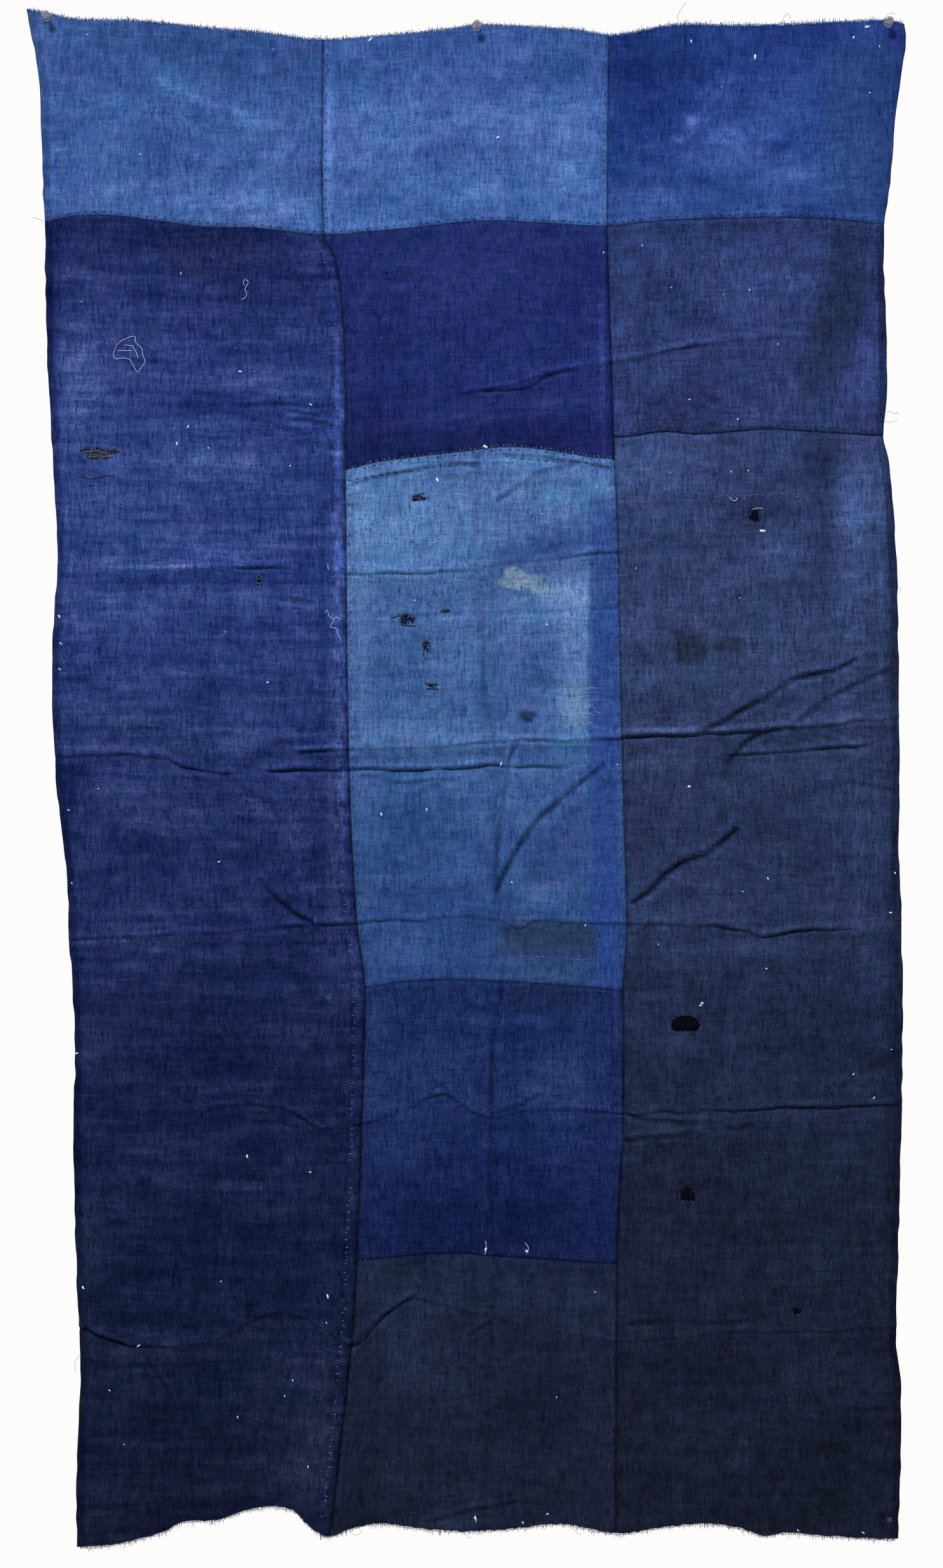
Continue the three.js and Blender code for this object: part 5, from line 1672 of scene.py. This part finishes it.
# Painted shade in the dips along the seams
SEAM_SHADE = 0.3
UPRIGHT_SHADE_WIDTH = 0.0022
LEVEL_SHADE_WIDTH = 0.002
TOP_ROW_SHARE = 0.5


def edge_shade(panel_row, x, z):
    """Darker doubled side hems with a worn line inside them, and painted shade in the dips along the seams.
    """
    _, _, left, right, top, bottom = panel_row
    shade = np.ones(x.shape)
    for line, gap in ((left, x - UPRIGHT_CURVES[left](z)), (right, UPRIGHT_CURVES[right](z) - x)):
        if line in FREE_LINES:
            strength = TOP_ROW_SHARE if top == "topEdge" else 1.0
            doubled = smooth_step((HEM_ROLL_WIDTH - gap) / HEM_SHADE_SLOPE)
            shade *= 1 - HEM_SHADE * strength * doubled
            worn = bell(gap - HEM_ROLL_WIDTH - HEM_LINE_OFF, HEM_LINE_WIDTH)
            shade *= 1 + HEM_LINE_SHADE * strength * worn
        else:
            # Painted shade in the upright seam's dip
            shade *= 1 - SEAM_SHADE * bell(gap, UPRIGHT_SHADE_WIDTH)
    for line, gap in ((top, LEVEL_CURVES[top](x) - z), (bottom, z - LEVEL_CURVES[bottom](x))):
        if line not in FREE_LINES:
            # Painted shade in the level seam's dip
            shade *= 1 - SEAM_SHADE * bell(gap, LEVEL_SHADE_WIDTH)
    return shade


for panel_row in PANELS:
    make_panel(panel_row)


# Scraps behind the holes, and the seam allowances on the back

def flat_grid(centre_x, centre_z, width, height, pitch):
    across = np.linspace(centre_x - width / 2, centre_x + width / 2, max(2, round(width / pitch)))
    down = np.linspace(centre_z + height / 2, centre_z - height / 2, max(2, round(height / pitch)))
    return np.meshgrid(across, down)


BACKING_COLOURS = {
    "backing_left_brown": (56, 60, 72), "backing_light": (20, 28, 60), "backing_right_mend": (9, 12, 30),
}
PLAIN_BACKING = (7, 9, 18)
BACKING_PITCH = 0.003
BACKING_LEAN = 0.07
LEAN_TURN = 90
BACKING_WOBBLE = 0.0022
behind_panel = CLOTH_THICKNESS + BACKING_GAP


def make_backing(backing):
    name = backing["name"]
    centre_x, centre_z, width, height = (backing[key] for key in ("x", "z", "width", "height"))
    x, z = flat_grid(centre_x, centre_z, width, height, BACKING_PITCH)
    edge_x, edge_z = (x - centre_x) / width, (z - centre_z) / height
    lean = BACKING_LEAN * np.sin(centre_x * LEAN_TURN)
    x = x + BACKING_WOBBLE * line_cloud(z, 0.02, 71) * 2 * np.abs(edge_x) - lean * edge_z * height
    z = z + BACKING_WOBBLE * line_cloud(x, 0.02, 73) * 2 * np.abs(edge_z) + lean * edge_x * width
    colour = linear(BACKING_COLOURS.get(name, PLAIN_BACKING))
    level = 0.3 * layered_cloud(x, z, 0.02, 0.01, 72)
    colours = colour * np.exp(level)[..., None]
    piece = sheet_mesh(name + "_cloth", x, -lift(x, z) + behind_panel, z, CLOTH_THICKNESS,
                       cloth_materials["backing_cloth"], colours)
    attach(piece, "root")
    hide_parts(name)


for backing in BACKINGS:
    make_backing(backing)

FLAP_THICKNESS = 0.0007
FLAP_PITCH = 0.004
FLAP_GAP = 0.0002
FLAP_UNEVEN = 0.12
allowances = {}


def column_dye(left, right, x, z):
    """The dye of whichever panel of a column stands at each height."""
    colours = np.zeros(x.shape + (3,))
    for name, _, panel_left, panel_right, top, bottom in PANELS:
        if (panel_left, panel_right) == (left, right):
            inside = (z <= LEVEL_CURVES[top](x)) & (z > LEVEL_CURVES[bottom](x))
            colours = np.where(inside[..., None], dye_and_painted_light(name, x, z), colours)
    return colours


def make_allowance(name, x, z, colours):
    """A strip of doubled cloth along the back of a seam."""
    y = -lift(x, z) + (CLOTH_THICKNESS + FLAP_THICKNESS) / 2 + FLAP_GAP + SEAM_DIP
    piece = sheet_mesh(name, x, y, z, FLAP_THICKNESS, cloth_materials["indigo_dark"], colours)
    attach(piece, "root")
    allowances[name] = piece


SEAM_TOP = -0.014
SEAM_FOOT = -1.715

# The side of an upright seam that an allowance lies on, and the column whose dye it has

UPRIGHT_FLAPS = [
    ("leftSeam", -1, ("leftEdge", "leftSeam")), ("leftSeam", 1, ("leftSeam", "rightSeam")),
    ("rightSeam", -1, ("leftSeam", "rightSeam")), ("rightSeam", 1, ("rightSeam", "rightEdge")),
]


def upright_allowance(line, side, column):
    z = np.linspace(SEAM_TOP, SEAM_FOOT, round((SEAM_TOP - SEAM_FOOT) / FLAP_PITCH))[:, None]
    reach = np.linspace(0, ALLOWANCE_WIDTH, 4)[None, :] * (1 + FLAP_UNEVEN * line_cloud(z, 0.02, 81))
    middle = UPRIGHT_CURVES[line](z)
    x = middle + side * reach if side > 0 else middle - reach[:, ::-1]
    z = z + 0 * x
    make_allowance(f"allowance_{line}_{'right' if side > 0 else 'left'}", x, z, column_dye(*column, x, z))


for flap in UPRIGHT_FLAPS:
    upright_allowance(*flap)

# Cross seams: the seam, the lines it runs between, and the panel whose dye its allowance has

FLAP_ENDS = 0.0105
CROSS_SEAMS = [
    ("rowSeam", "leftEdge", "leftSeam", "left_long"), ("rowSeam", "leftSeam", "rightSeam", "middle_navy"),
    ("rowSeam", "rightSeam", "rightEdge", "right_upper"),
    ("rightCrossSeam", "rightSeam", "rightEdge", "right_long"),
    ("navySeam", "leftSeam", "rightSeam", "middle_light"),
    ("lightSeam", "leftSeam", "rightSeam", "middle_mid"),
    ("charcoalSeam", "leftSeam", "rightSeam", "middle_charcoal"),
]


def cross_allowance(line, left, right, panel):
    height = float(LEVEL_CURVES[line](0.0))
    start = float(UPRIGHT_CURVES[left](height)) + FLAP_ENDS
    end = float(UPRIGHT_CURVES[right](height)) - FLAP_ENDS
    x = np.linspace(start, end, round((end - start) / FLAP_PITCH))[None, :]
    reach = np.linspace(ALLOWANCE_WIDTH, -ALLOWANCE_WIDTH, 7)[:, None]
    reach = reach * (1 + FLAP_UNEVEN * line_cloud(x, 0.02, 82))
    z = LEVEL_CURVES[line](x) + reach
    x = x + 0 * z
    make_allowance(f"allowance_{line}_{left}", x, z, dye_and_painted_light(panel, x, z))


for cross_seam in CROSS_SEAMS:
    cross_allowance(*cross_seam)


# Stitches, loose threads, frayed ends and lint

def on_cloth(routes, raises):
    """Routes of x and z laid on the cloth's face, each raised off it by its own amounts."""
    counts = [len(route) for route in routes]
    places = np.concatenate([np.asarray(route, dtype=float) for route in routes])
    up = np.concatenate([np.broadcast_to(raised, (count,)) for raised, count in zip(raises, counts)])
    y = -lift(places[:, 0], places[:, 1]) - CLOTH_THICKNESS / 2 - up
    points = np.column_stack([places[:, 0], y, places[:, 1]])
    return np.split(points, np.cumsum(counts)[:-1])


def smooth_route(points, step):
    """Points a step apart along a smooth curve through the given ones."""
    points = np.asarray(points, dtype=float)
    lengths = np.concatenate([[0], np.cumsum(np.linalg.norm(np.diff(points, axis=0), axis=1))])
    at = np.linspace(0, lengths[-1], max(3, int(lengths[-1] / step)))
    curves = [make_curve(list(zip(lengths, points[:, i]))) for i in range(points.shape[1])]
    return np.stack([curve(at) for curve in curves], axis=1)


STITCH_ARCH = np.array([-0.0006, 0.0002, 0.0004, 0.0002, -0.0006])


def stitch_route(start, end):
    steps = np.linspace(0, 1, len(STITCH_ARCH))[:, None]
    return np.array(start) + steps * (np.array(end) - np.array(start))


def evenly_on_cloth(routes, raised):
    return on_cloth(routes, [raised] * len(routes))


def running_stitches(points, pitch, length, slack=0.0003):
    """Stitches of a hand-sewn row along points, uneven as hand sewing is."""
    route = smooth_route(points, pitch)
    stitches = []
    for place, after in zip(route, route[1:]):
        way = (after - place) / np.linalg.norm(after - place)
        start = place + numbers.normal(0, slack, 2)
        reach = length * numbers.uniform(0.7, 1.2)
        stitches.append(stitch_route(start, start + way * reach + numbers.normal(0, slack, 2)))
    return stitches


def beside_upright(line, offset, top, bottom):
    heights = np.linspace(top, bottom, 40)
    return [(float(UPRIGHT_CURVES[line](height)) + offset, float(height)) for height in heights]


def beside_level(line, offset, start, end):
    places = np.linspace(start, end, 24)
    return [(float(place), float(LEVEL_CURVES[line](place)) + offset) for place in places]


numbers = np.random.default_rng(7)
dark_thread = thread_material("dark_thread", (18, 26, 62), 0.3)
mid_thread = thread_material("mid_thread", (88, 108, 160), 0.35)
slit_fray = thread_material("slit_fray", (40, 50, 80), 0.3)
edge_fray = thread_material("edge_fray", (60, 88, 152), 0.3)
hem_fray = thread_material("hem_fray", (26, 36, 72), 0.3)
mid_fray = thread_material("mid_fray", (88, 120, 178), 0.4)
slit_dark = thread_material("slit_dark", (12, 16, 34), 0.2)
pale_thread = thread_material("pale_thread", (196, 204, 222), 0.2)
worn_yarn = thread_material("worn_yarn", (128, 160, 192), 0.25)
lint_white = thread_material("lint_white", (222, 234, 252), 0.03)


def add_trim(obj):
    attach(obj, "root")
    return obj


# Narrow slits, drawn as dark threads, then small worn spots: place x and z, and radius

SLITS = [
    [(-0.453, -0.517), (-0.440, -0.5195), (-0.425, -0.5165), (-0.414, -0.516)],
    [(-0.068, -0.5385), (-0.060, -0.536)], [(-0.077, -0.549), (-0.076, -0.553)],
    [(-0.098, -0.679), (-0.088, -0.6765), (-0.074, -0.675)], [(-0.086, -0.687), (-0.070, -0.6885)],
    [(-0.042, -0.6712), (-0.035, -0.6695), (-0.030, -0.6705)], [(-0.0405, -0.6722), (-0.031, -0.6718)],
    [(-0.060, -0.705), (-0.061, -0.722)],
    [(-0.054, -0.708), (-0.053, -0.719)], [(-0.060, -0.7545), (-0.044, -0.755)],
    [(-0.058, -0.760), (-0.044, -0.7605)], [(-0.250, -0.629), (-0.247, -0.6275)],
]
WORN_SPOTS = [
    (-0.0355, -0.671, 0.0048), (-0.4072, -0.549, 0.0022), (-0.4044, -0.5636, 0.0018),
    (-0.3964, -0.5654, 0.0012), (-0.3322, -0.622, 0.0016), (0.4716, -1.7097, 0.0022),
    (0.1387, -0.6439, 0.0016), (0.138, -0.5993, 0.0014), (-0.1687, -1.1125, 0.002),
    (-0.0482, -0.6505, 0.0014), (0.2942, -0.5366, 0.0012),
]


def spot_routes():
    """Small worn rings, each a pale yarn round a dark centre."""
    rings, centres = [], []
    turns = np.linspace(0, 2 * math.pi, 9)
    for x, z, radius in WORN_SPOTS:
        rings.append([(x + radius * math.cos(turn), z + radius * math.sin(turn)) for turn in turns])
        centres.append([(x - radius * 0.5, z), (x, z + radius * 0.2), (x + radius * 0.5, z)])
    return rings, centres


# Broken yarns that still cross the worn holes: both ends of each

BRIDGES = [
    ((-0.033, -0.668), (-0.0265, -0.6615)), ((-0.028, -0.663), (-0.0195, -0.6545)),
    ((-0.041, -0.666), (-0.036, -0.6625)), ((-0.030, -0.6745), (-0.024, -0.678)),
    ((-0.452, -0.489), (-0.436, -0.487)), ((-0.447, -0.495), (-0.431, -0.493)),
    ((-0.438, -0.486), (-0.424, -0.491)), ((-0.431, -0.495), (-0.415, -0.492)),
    ((-0.441, -0.484), (-0.443, -0.498)), ((-0.425, -0.486), (-0.423, -0.497)),
    ((-0.252, -0.634), (-0.246, -0.635)), ((-0.252, -0.639), (-0.246, -0.640)),
    ((-0.072, -0.541), (-0.062, -0.543)), ((-0.092, -0.683), (-0.086, -0.676)),
]


# Darned and mended places: centre, half width, half height and number of ticks

DARNS = [(-0.105, -0.575, 0.045, 0.02, 26), (-0.075, -0.68, 0.05, 0.05, 60), (-0.03, -0.62, 0.03, 0.02, 18)]
MEND_TICKS = [(-0.26, -0.455, 0.03, 0.06, 24), (-0.30, -0.62, 0.07, 0.05, 26), (-0.27, -0.52, 0.05, 0.03, 14)]

# Dark rows of stitches beside the seams: the seam, how far beside it, and its ends

UPRIGHT_ROWS = [("rightSeam", -0.0045), ("leftSeam", 0.004)]
LEVEL_ROWS = [
    ("rowSeam", 0.004, -0.48, 0.46), ("navySeam", -0.003, -0.14, 0.15), ("lightSeam", -0.004, -0.12, 0.16),
    ("charcoalSeam", 0.004, -0.13, 0.15), ("rightCrossSeam", 0.005, 0.165, 0.46),
]
SEAM_STITCH = 0.0035


LEVEL_ROW_PITCH = 0.010
UPRIGHT_ROW_PITCH = 0.011
UPRIGHT_ROW_TOP = -0.02
UPRIGHT_ROW_FOOT = -1.71
BORDER_TICK_TOP = -0.25
BORDER_TICK_FOOT = -1.70
BORDER_TICK_PITCH = 0.0075
BORDER_TICK_SHARE = 0.85


def border_ticks():
    """Short stitches across the sewn border of the long left panel."""
    routes = []
    for height in np.arange(BORDER_TICK_TOP, BORDER_TICK_FOOT, -BORDER_TICK_PITCH):
        if numbers.uniform() < BORDER_TICK_SHARE:
            edge = float(UPRIGHT_CURVES["leftSeam"](height)) - BORDER_WIDTH
            start = (edge + numbers.uniform(-0.001, 0.002), height + numbers.normal(0, 0.001))
            end = (start[0] + numbers.uniform(0.002, 0.0045), start[1] + numbers.normal(0, 0.0008))
            routes.append(stitch_route(start, end))
    return routes


def make_stitches():
    dark, mid, pale, raises = [], [], [], []
    for line, offset in UPRIGHT_ROWS:
        row = beside_upright(line, offset, UPRIGHT_ROW_TOP, UPRIGHT_ROW_FOOT)
        dark += running_stitches(row, UPRIGHT_ROW_PITCH, SEAM_STITCH)
    for level_row in LEVEL_ROWS:
        dark += running_stitches(beside_level(*level_row), LEVEL_ROW_PITCH, SEAM_STITCH)
    for name, points in STITCH_LINES:
        if name.startswith("mend"):
            mid += running_stitches(points, 0.0065, 0.003)
        elif name == "patch line":
            mid += running_stitches(points, 0.006, 0.0045)
        else:
            dark += running_stitches(points, 0.008, 0.005)
    dark += upright_ticks(DARNS)
    mid += upright_ticks(MEND_TICKS)
    mid += border_ticks()
    mid += [stitch_route(start, end) for start, end in BRIDGES]
    rings, centres = spot_routes()
    thick = [smooth_route(slit, 0.0015) for slit in SLITS] + centres
    thick = evenly_on_cloth(thick, 0.0001)
    for _, points in LOOSE_THREADS:
        route = smooth_route(points, 0.0011)
        raise_by = 0.0004 + 0.0003 * np.sin(np.linspace(0, 9, len(route)))
        raise_by[[0, -1]] = -0.0004
        pale.append(route)
        raises.append(raise_by)
    dark, mid = evenly_on_cloth(dark, STITCH_ARCH), evenly_on_cloth(mid, STITCH_ARCH)
    mid += evenly_on_cloth(rings, 0.0002)
    pieces = [
        threads_mesh("slits", thick, 0.0007, 5, slit_dark),
        threads_mesh("stitches_dark", dark, THREAD_RADIUS * 1.3, 5, dark_thread),
        threads_mesh("stitches_mid", mid, THREAD_RADIUS * 1.1, 5, mid_thread),
        threads_mesh("threads_pale", on_cloth(pale, raises), THREAD_RADIUS, 5, pale_thread),
    ]
    return [add_trim(piece) for piece in pieces]


def upright_ticks(places):
    """Short upright darning stitches scattered over worn places."""
    routes = []
    for centre_x, centre_z, half_x, half_z, count in places:
        for _ in range(count):
            x = centre_x + numbers.uniform(-half_x, half_x)
            z = centre_z + numbers.uniform(-half_z, half_z)
            end = (x + numbers.normal(0, 0.0003), z - numbers.uniform(0.0015, 0.004))
            routes.append(stitch_route((x, z), end))
    return routes


def make_backing_stitches():
    """Tacking stitches around each scrap, on the back of the cloth."""
    routes = []
    for backing in BACKINGS:
        half_x, half_z = backing["width"] / 2 - BACKING_TACK, backing["height"] / 2 - BACKING_TACK
        corners = [(-1, -1), (1, -1), (1, 1), (-1, 1), (-1, -1)]
        for (start_x, start_z), (end_x, end_z) in zip(corners, corners[1:]):
            line = [
                (backing["x"] + start_x * half_x, backing["z"] + start_z * half_z),
                (backing["x"] + end_x * half_x, backing["z"] + end_z * half_z),
            ]
            routes += running_stitches(line, 0.007, 0.0035, 0.0005)
    behind = -CLOTH_THICKNESS / 2 - behind_panel - CLOTH_THICKNESS / 2
    routes = evenly_on_cloth(routes, behind - STITCH_ARCH)
    return add_trim(threads_mesh("stitches_back", routes, THREAD_RADIUS, 5, mid_thread))


def make_strays():
    routes = []
    for _, points in STRAY_THREADS:
        route = smooth_route(points, 0.0016)
        y = -lift(route[:, 0], route[:, 1]) - 0.001 * np.sin(np.linspace(0, 3, len(route)))
        routes.append(np.column_stack([route[:, 0], y, route[:, 1]]))
    return add_trim(threads_mesh("threads_stray", routes, 0.00018, 4, dark_thread))


FRAY_ROOT = 0.0022
FRAY_LEAN = 0.35
FRAY_BEND = 0.12
CLUMP_WIDE = 0.011
CLUMP_SEED = 95


def fray_routes(line, start, end, pitch, way, longest):
    """Short yarn ends that stand out of a raw edge."""
    routes = []
    places = np.arange(start, end, pitch)
    places = places + numbers.normal(0, pitch * 0.3, len(places))
    heights = LEVEL_CURVES[line](places)
    depths = -lift(places, heights) + numbers.normal(0, 0.0002, len(places))
    for x, z, depth in zip(places, heights, depths):
        clump = 0.55 + 0.6 * abs(float(line_cloud(np.array([x]), CLUMP_WIDE, CLUMP_SEED)[0]))
        length = (0.2 + 0.8 * numbers.uniform() ** 5) * longest * clump
        lean = numbers.normal(0, FRAY_LEAN)
        root = np.array([x, depth, z - way * FRAY_ROOT])
        forward = numbers.normal(-0.15, 0.3) * length
        tip = root + np.array([lean * length, forward, way * (length + FRAY_ROOT)])
        middle = (root + tip) / 2 + np.array([numbers.normal(0, FRAY_BEND), 0, 0]) * length
        routes.append([root, middle, tip])
    return routes


def make_frays():
    top = fray_routes("topEdge", -0.514, 0.489, 0.0004, 1, 0.0056)
    foot = fray_routes("hem", -0.452, 0.478, 0.0005, -1, 0.0062)
    top_piece = threads_mesh("fray_top", top, FRAY_RADIUS * 1.4, 3, edge_fray)
    foot_piece = threads_mesh("fray_hem", foot, FRAY_RADIUS, 3, hem_fray)
    return [add_trim(top_piece), add_trim(foot_piece)]


# Broken yarns at each panel's holes: material, longest end, and how many steps apart

HOLE_FRAY_STEP = 0.0016
HOLE_FRAYS = {
    "middle_light": (mid_fray, 0.0036, 1), "left_long": (mid_thread, 0.0026, 1),
    "right_long": (slit_fray, 0.0009, 2),
}


def make_hole_frays(panel, material, longest, spacing):
    """Broken yarns around the rims of a panel's holes, some reaching across them."""
    routes = []
    own_holes = [hole for hole in WORN_HOLES if hole["panel"] == panel]
    for hole in own_holes:
        half_x, half_z = hole["width"] / 2, hole["height"] / 2
        count = int(math.pi * (half_x + half_z) / HOLE_FRAY_STEP / spacing)
        for i in range(count):
            angle = 2 * math.pi * i / count + numbers.normal(0, 0.1)
            reach = float(hole_reach(hole, np.float64(angle)))
            centre = np.array([hole["x"], hole["z"]])
            rim = centre + np.array([half_x * reach * math.cos(angle), half_z * reach * math.sin(angle)])
            inward = centre - rim
            length = min(numbers.uniform(0.0004, longest), 0.6 * np.linalg.norm(inward))
            inward = inward / np.linalg.norm(inward) + numbers.normal(0, 0.4, 2)
            routes.append([rim - inward * 0.0012, rim, rim + inward * length])
    routes = evenly_on_cloth(routes, (0.0002, 0.0003, -0.0006))
    return add_trim(threads_mesh("fray_holes_" + panel, routes, 0.0003, 4, material))


FUZZ_START = -0.146
FUZZ_END = 0.158
FUZZ_PITCH = 0.0021


def make_seam_fuzz():
    """Pale yarn ends along the worn top edge of the light panel."""
    routes = []
    places = np.arange(FUZZ_START, FUZZ_END, FUZZ_PITCH)
    heights = LEVEL_CURVES["navySeam"](places)
    for x, z in zip(places + numbers.normal(0, 0.0008, len(places)), heights):
        length = numbers.uniform(0.0008, 0.0038)
        routes.append([(x, z - 0.0008), (x + numbers.normal(0, 0.4) * length, z + length)])
    routes = evenly_on_cloth(routes, 0.0003)
    return add_trim(threads_mesh("fray_seam", routes, 0.00022, 4, mid_fray))


DASH_COUNT = 90
DASH_X = 0.113
DASH_SPREAD = 0.011
DASH_FOOT = -0.806
DASH_TOP = -0.758


def make_worn_dashes():
    """Pale worn weft yarns in the faded place on the light panel."""
    routes = []
    for _ in range(DASH_COUNT):
        x = numbers.normal(DASH_X, DASH_SPREAD)
        z = numbers.uniform(DASH_FOOT, DASH_TOP)
        length = numbers.uniform(0.002, 0.007)
        routes.append([(x, z), (x + length / 2, z + numbers.normal(0, 0.0003)), (x + length, z)])
    routes = evenly_on_cloth(routes, (-0.0001, 0.0001, -0.0001))
    return add_trim(threads_mesh("worn_yarns", routes, 0.00026, 4, worn_yarn))


def make_lint():
    """Small tufts of lint caught on the cloth."""
    routes, radii = [], []
    for x, z, radius in LINT:
        turn = numbers.uniform(0, math.pi)
        reach = radius * numbers.uniform(0.7, 1.3)
        step = np.array([math.cos(turn), math.sin(turn)]) * reach
        bend = numbers.normal(0, 0.3, 2) * reach
        place = np.array([x, z])
        routes.append([place - step, place + bend, place + step])
        radii.append(max(0.0005, radius * 0.55))
    routes = evenly_on_cloth(routes, (0.0, 0.0004, 0.0))
    return add_trim(threads_mesh("lint", routes, radii, 5, lint_white))


trims = make_stitches()
trims.append(make_backing_stitches())
trims.append(make_strays())
trims += make_frays()
trims.append(make_worn_dashes())
trims.append(make_seam_fuzz())
trims.append(make_lint())
hole_frays = {panel: make_hole_frays(panel, *choice) for panel, choice in HOLE_FRAYS.items()}


# Push pins

NEEDLE_SOCKET = 0.0055
COLLAR_GAP = 0.0003
COLLAR_FACE = -TOP_LIFT - SOLID_THICKNESS / 2 - COLLAR_GAP

# Each row is a radius and how far forward of the collar's face it lies

HEAD_PROFILE = [
    (0.0, NEEDLE_SOCKET), (0.00085, NEEDLE_SOCKET), (0.00085, 0.0), (0.0048, 0.0), (0.005, 0.0002),
    (0.005, 0.0008), (0.0046, 0.0011), (0.0034, 0.0018), (0.0028, 0.0032), (0.0026, 0.005),
    (0.0026, 0.0068), (0.0029, 0.0084), (0.0036, 0.0094), (0.0043, 0.0098), (0.0046, 0.0104),
    (0.0046, 0.0114), (0.0043, 0.0119), (0.0036, 0.0122), (0.0, 0.0124),
]
HEAD_SIDES = 40


def turned_mesh(name, profile, sides, centre_x, centre_z, material):
    """A turned shape about a line along Y, whose profile runs forward from the collar face."""
    points, rings = [], []
    for radius, forward in profile:
        y = COLLAR_FACE - forward
        if radius == 0:
            rings.append([len(points)] * sides)
            points.append((centre_x, y, centre_z))
            continue
        rings.append([len(points) + side for side in range(sides)])
        for side in range(sides):
            angle = 2 * math.pi * side / sides
            x, z = centre_x + radius * math.cos(angle), centre_z + radius * math.sin(angle)
            points.append((x, y, z))
    faces = []
    for low, high in zip(rings, rings[1:]):
        for side in range(sides):
            after = (side + 1) % sides
            corners = [low[side], low[after], high[after], high[side]]
            faces.append(tuple(dict.fromkeys(corners)))
    return new_object(name, points, faces, material)


plastic = clear_plastic()
steel = pin_steel()
for pin in PINS:
    name = f"pin_head_{pin['side']}_clear"
    head = turned_mesh(name, HEAD_PROFILE, HEAD_SIDES, pin["x"], pin["z"], plastic)
    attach(head, "root")
    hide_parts(f"pin_head_{pin['side']}")
    needle = bpy.data.objects[f"pin_needle_{pin['side']}"]
    needle.data.materials.clear()
    needle.data.materials.append(steel)


# What each sheet was cut to

FLAT_SIZES = {
    "top_left": (0.345, 0.245), "top_middle": (0.345, 0.245), "top_right": (0.345, 0.245),
    "left_long": (0.345, 1.53), "middle_navy": (0.345, 0.29), "middle_light": (0.345, 0.62),
    "middle_mid": (0.345, 0.33), "middle_charcoal": (0.345, 0.32), "right_upper": (0.345, 0.26),
    "right_long": (0.345, 1.28),
}

for name, flat in FLAT_SIZES.items():
    with_pieces = [hole_frays[name]] if name in hole_frays else []
    if name == "left_long":
        with_pieces += trims + list(allowances.values())
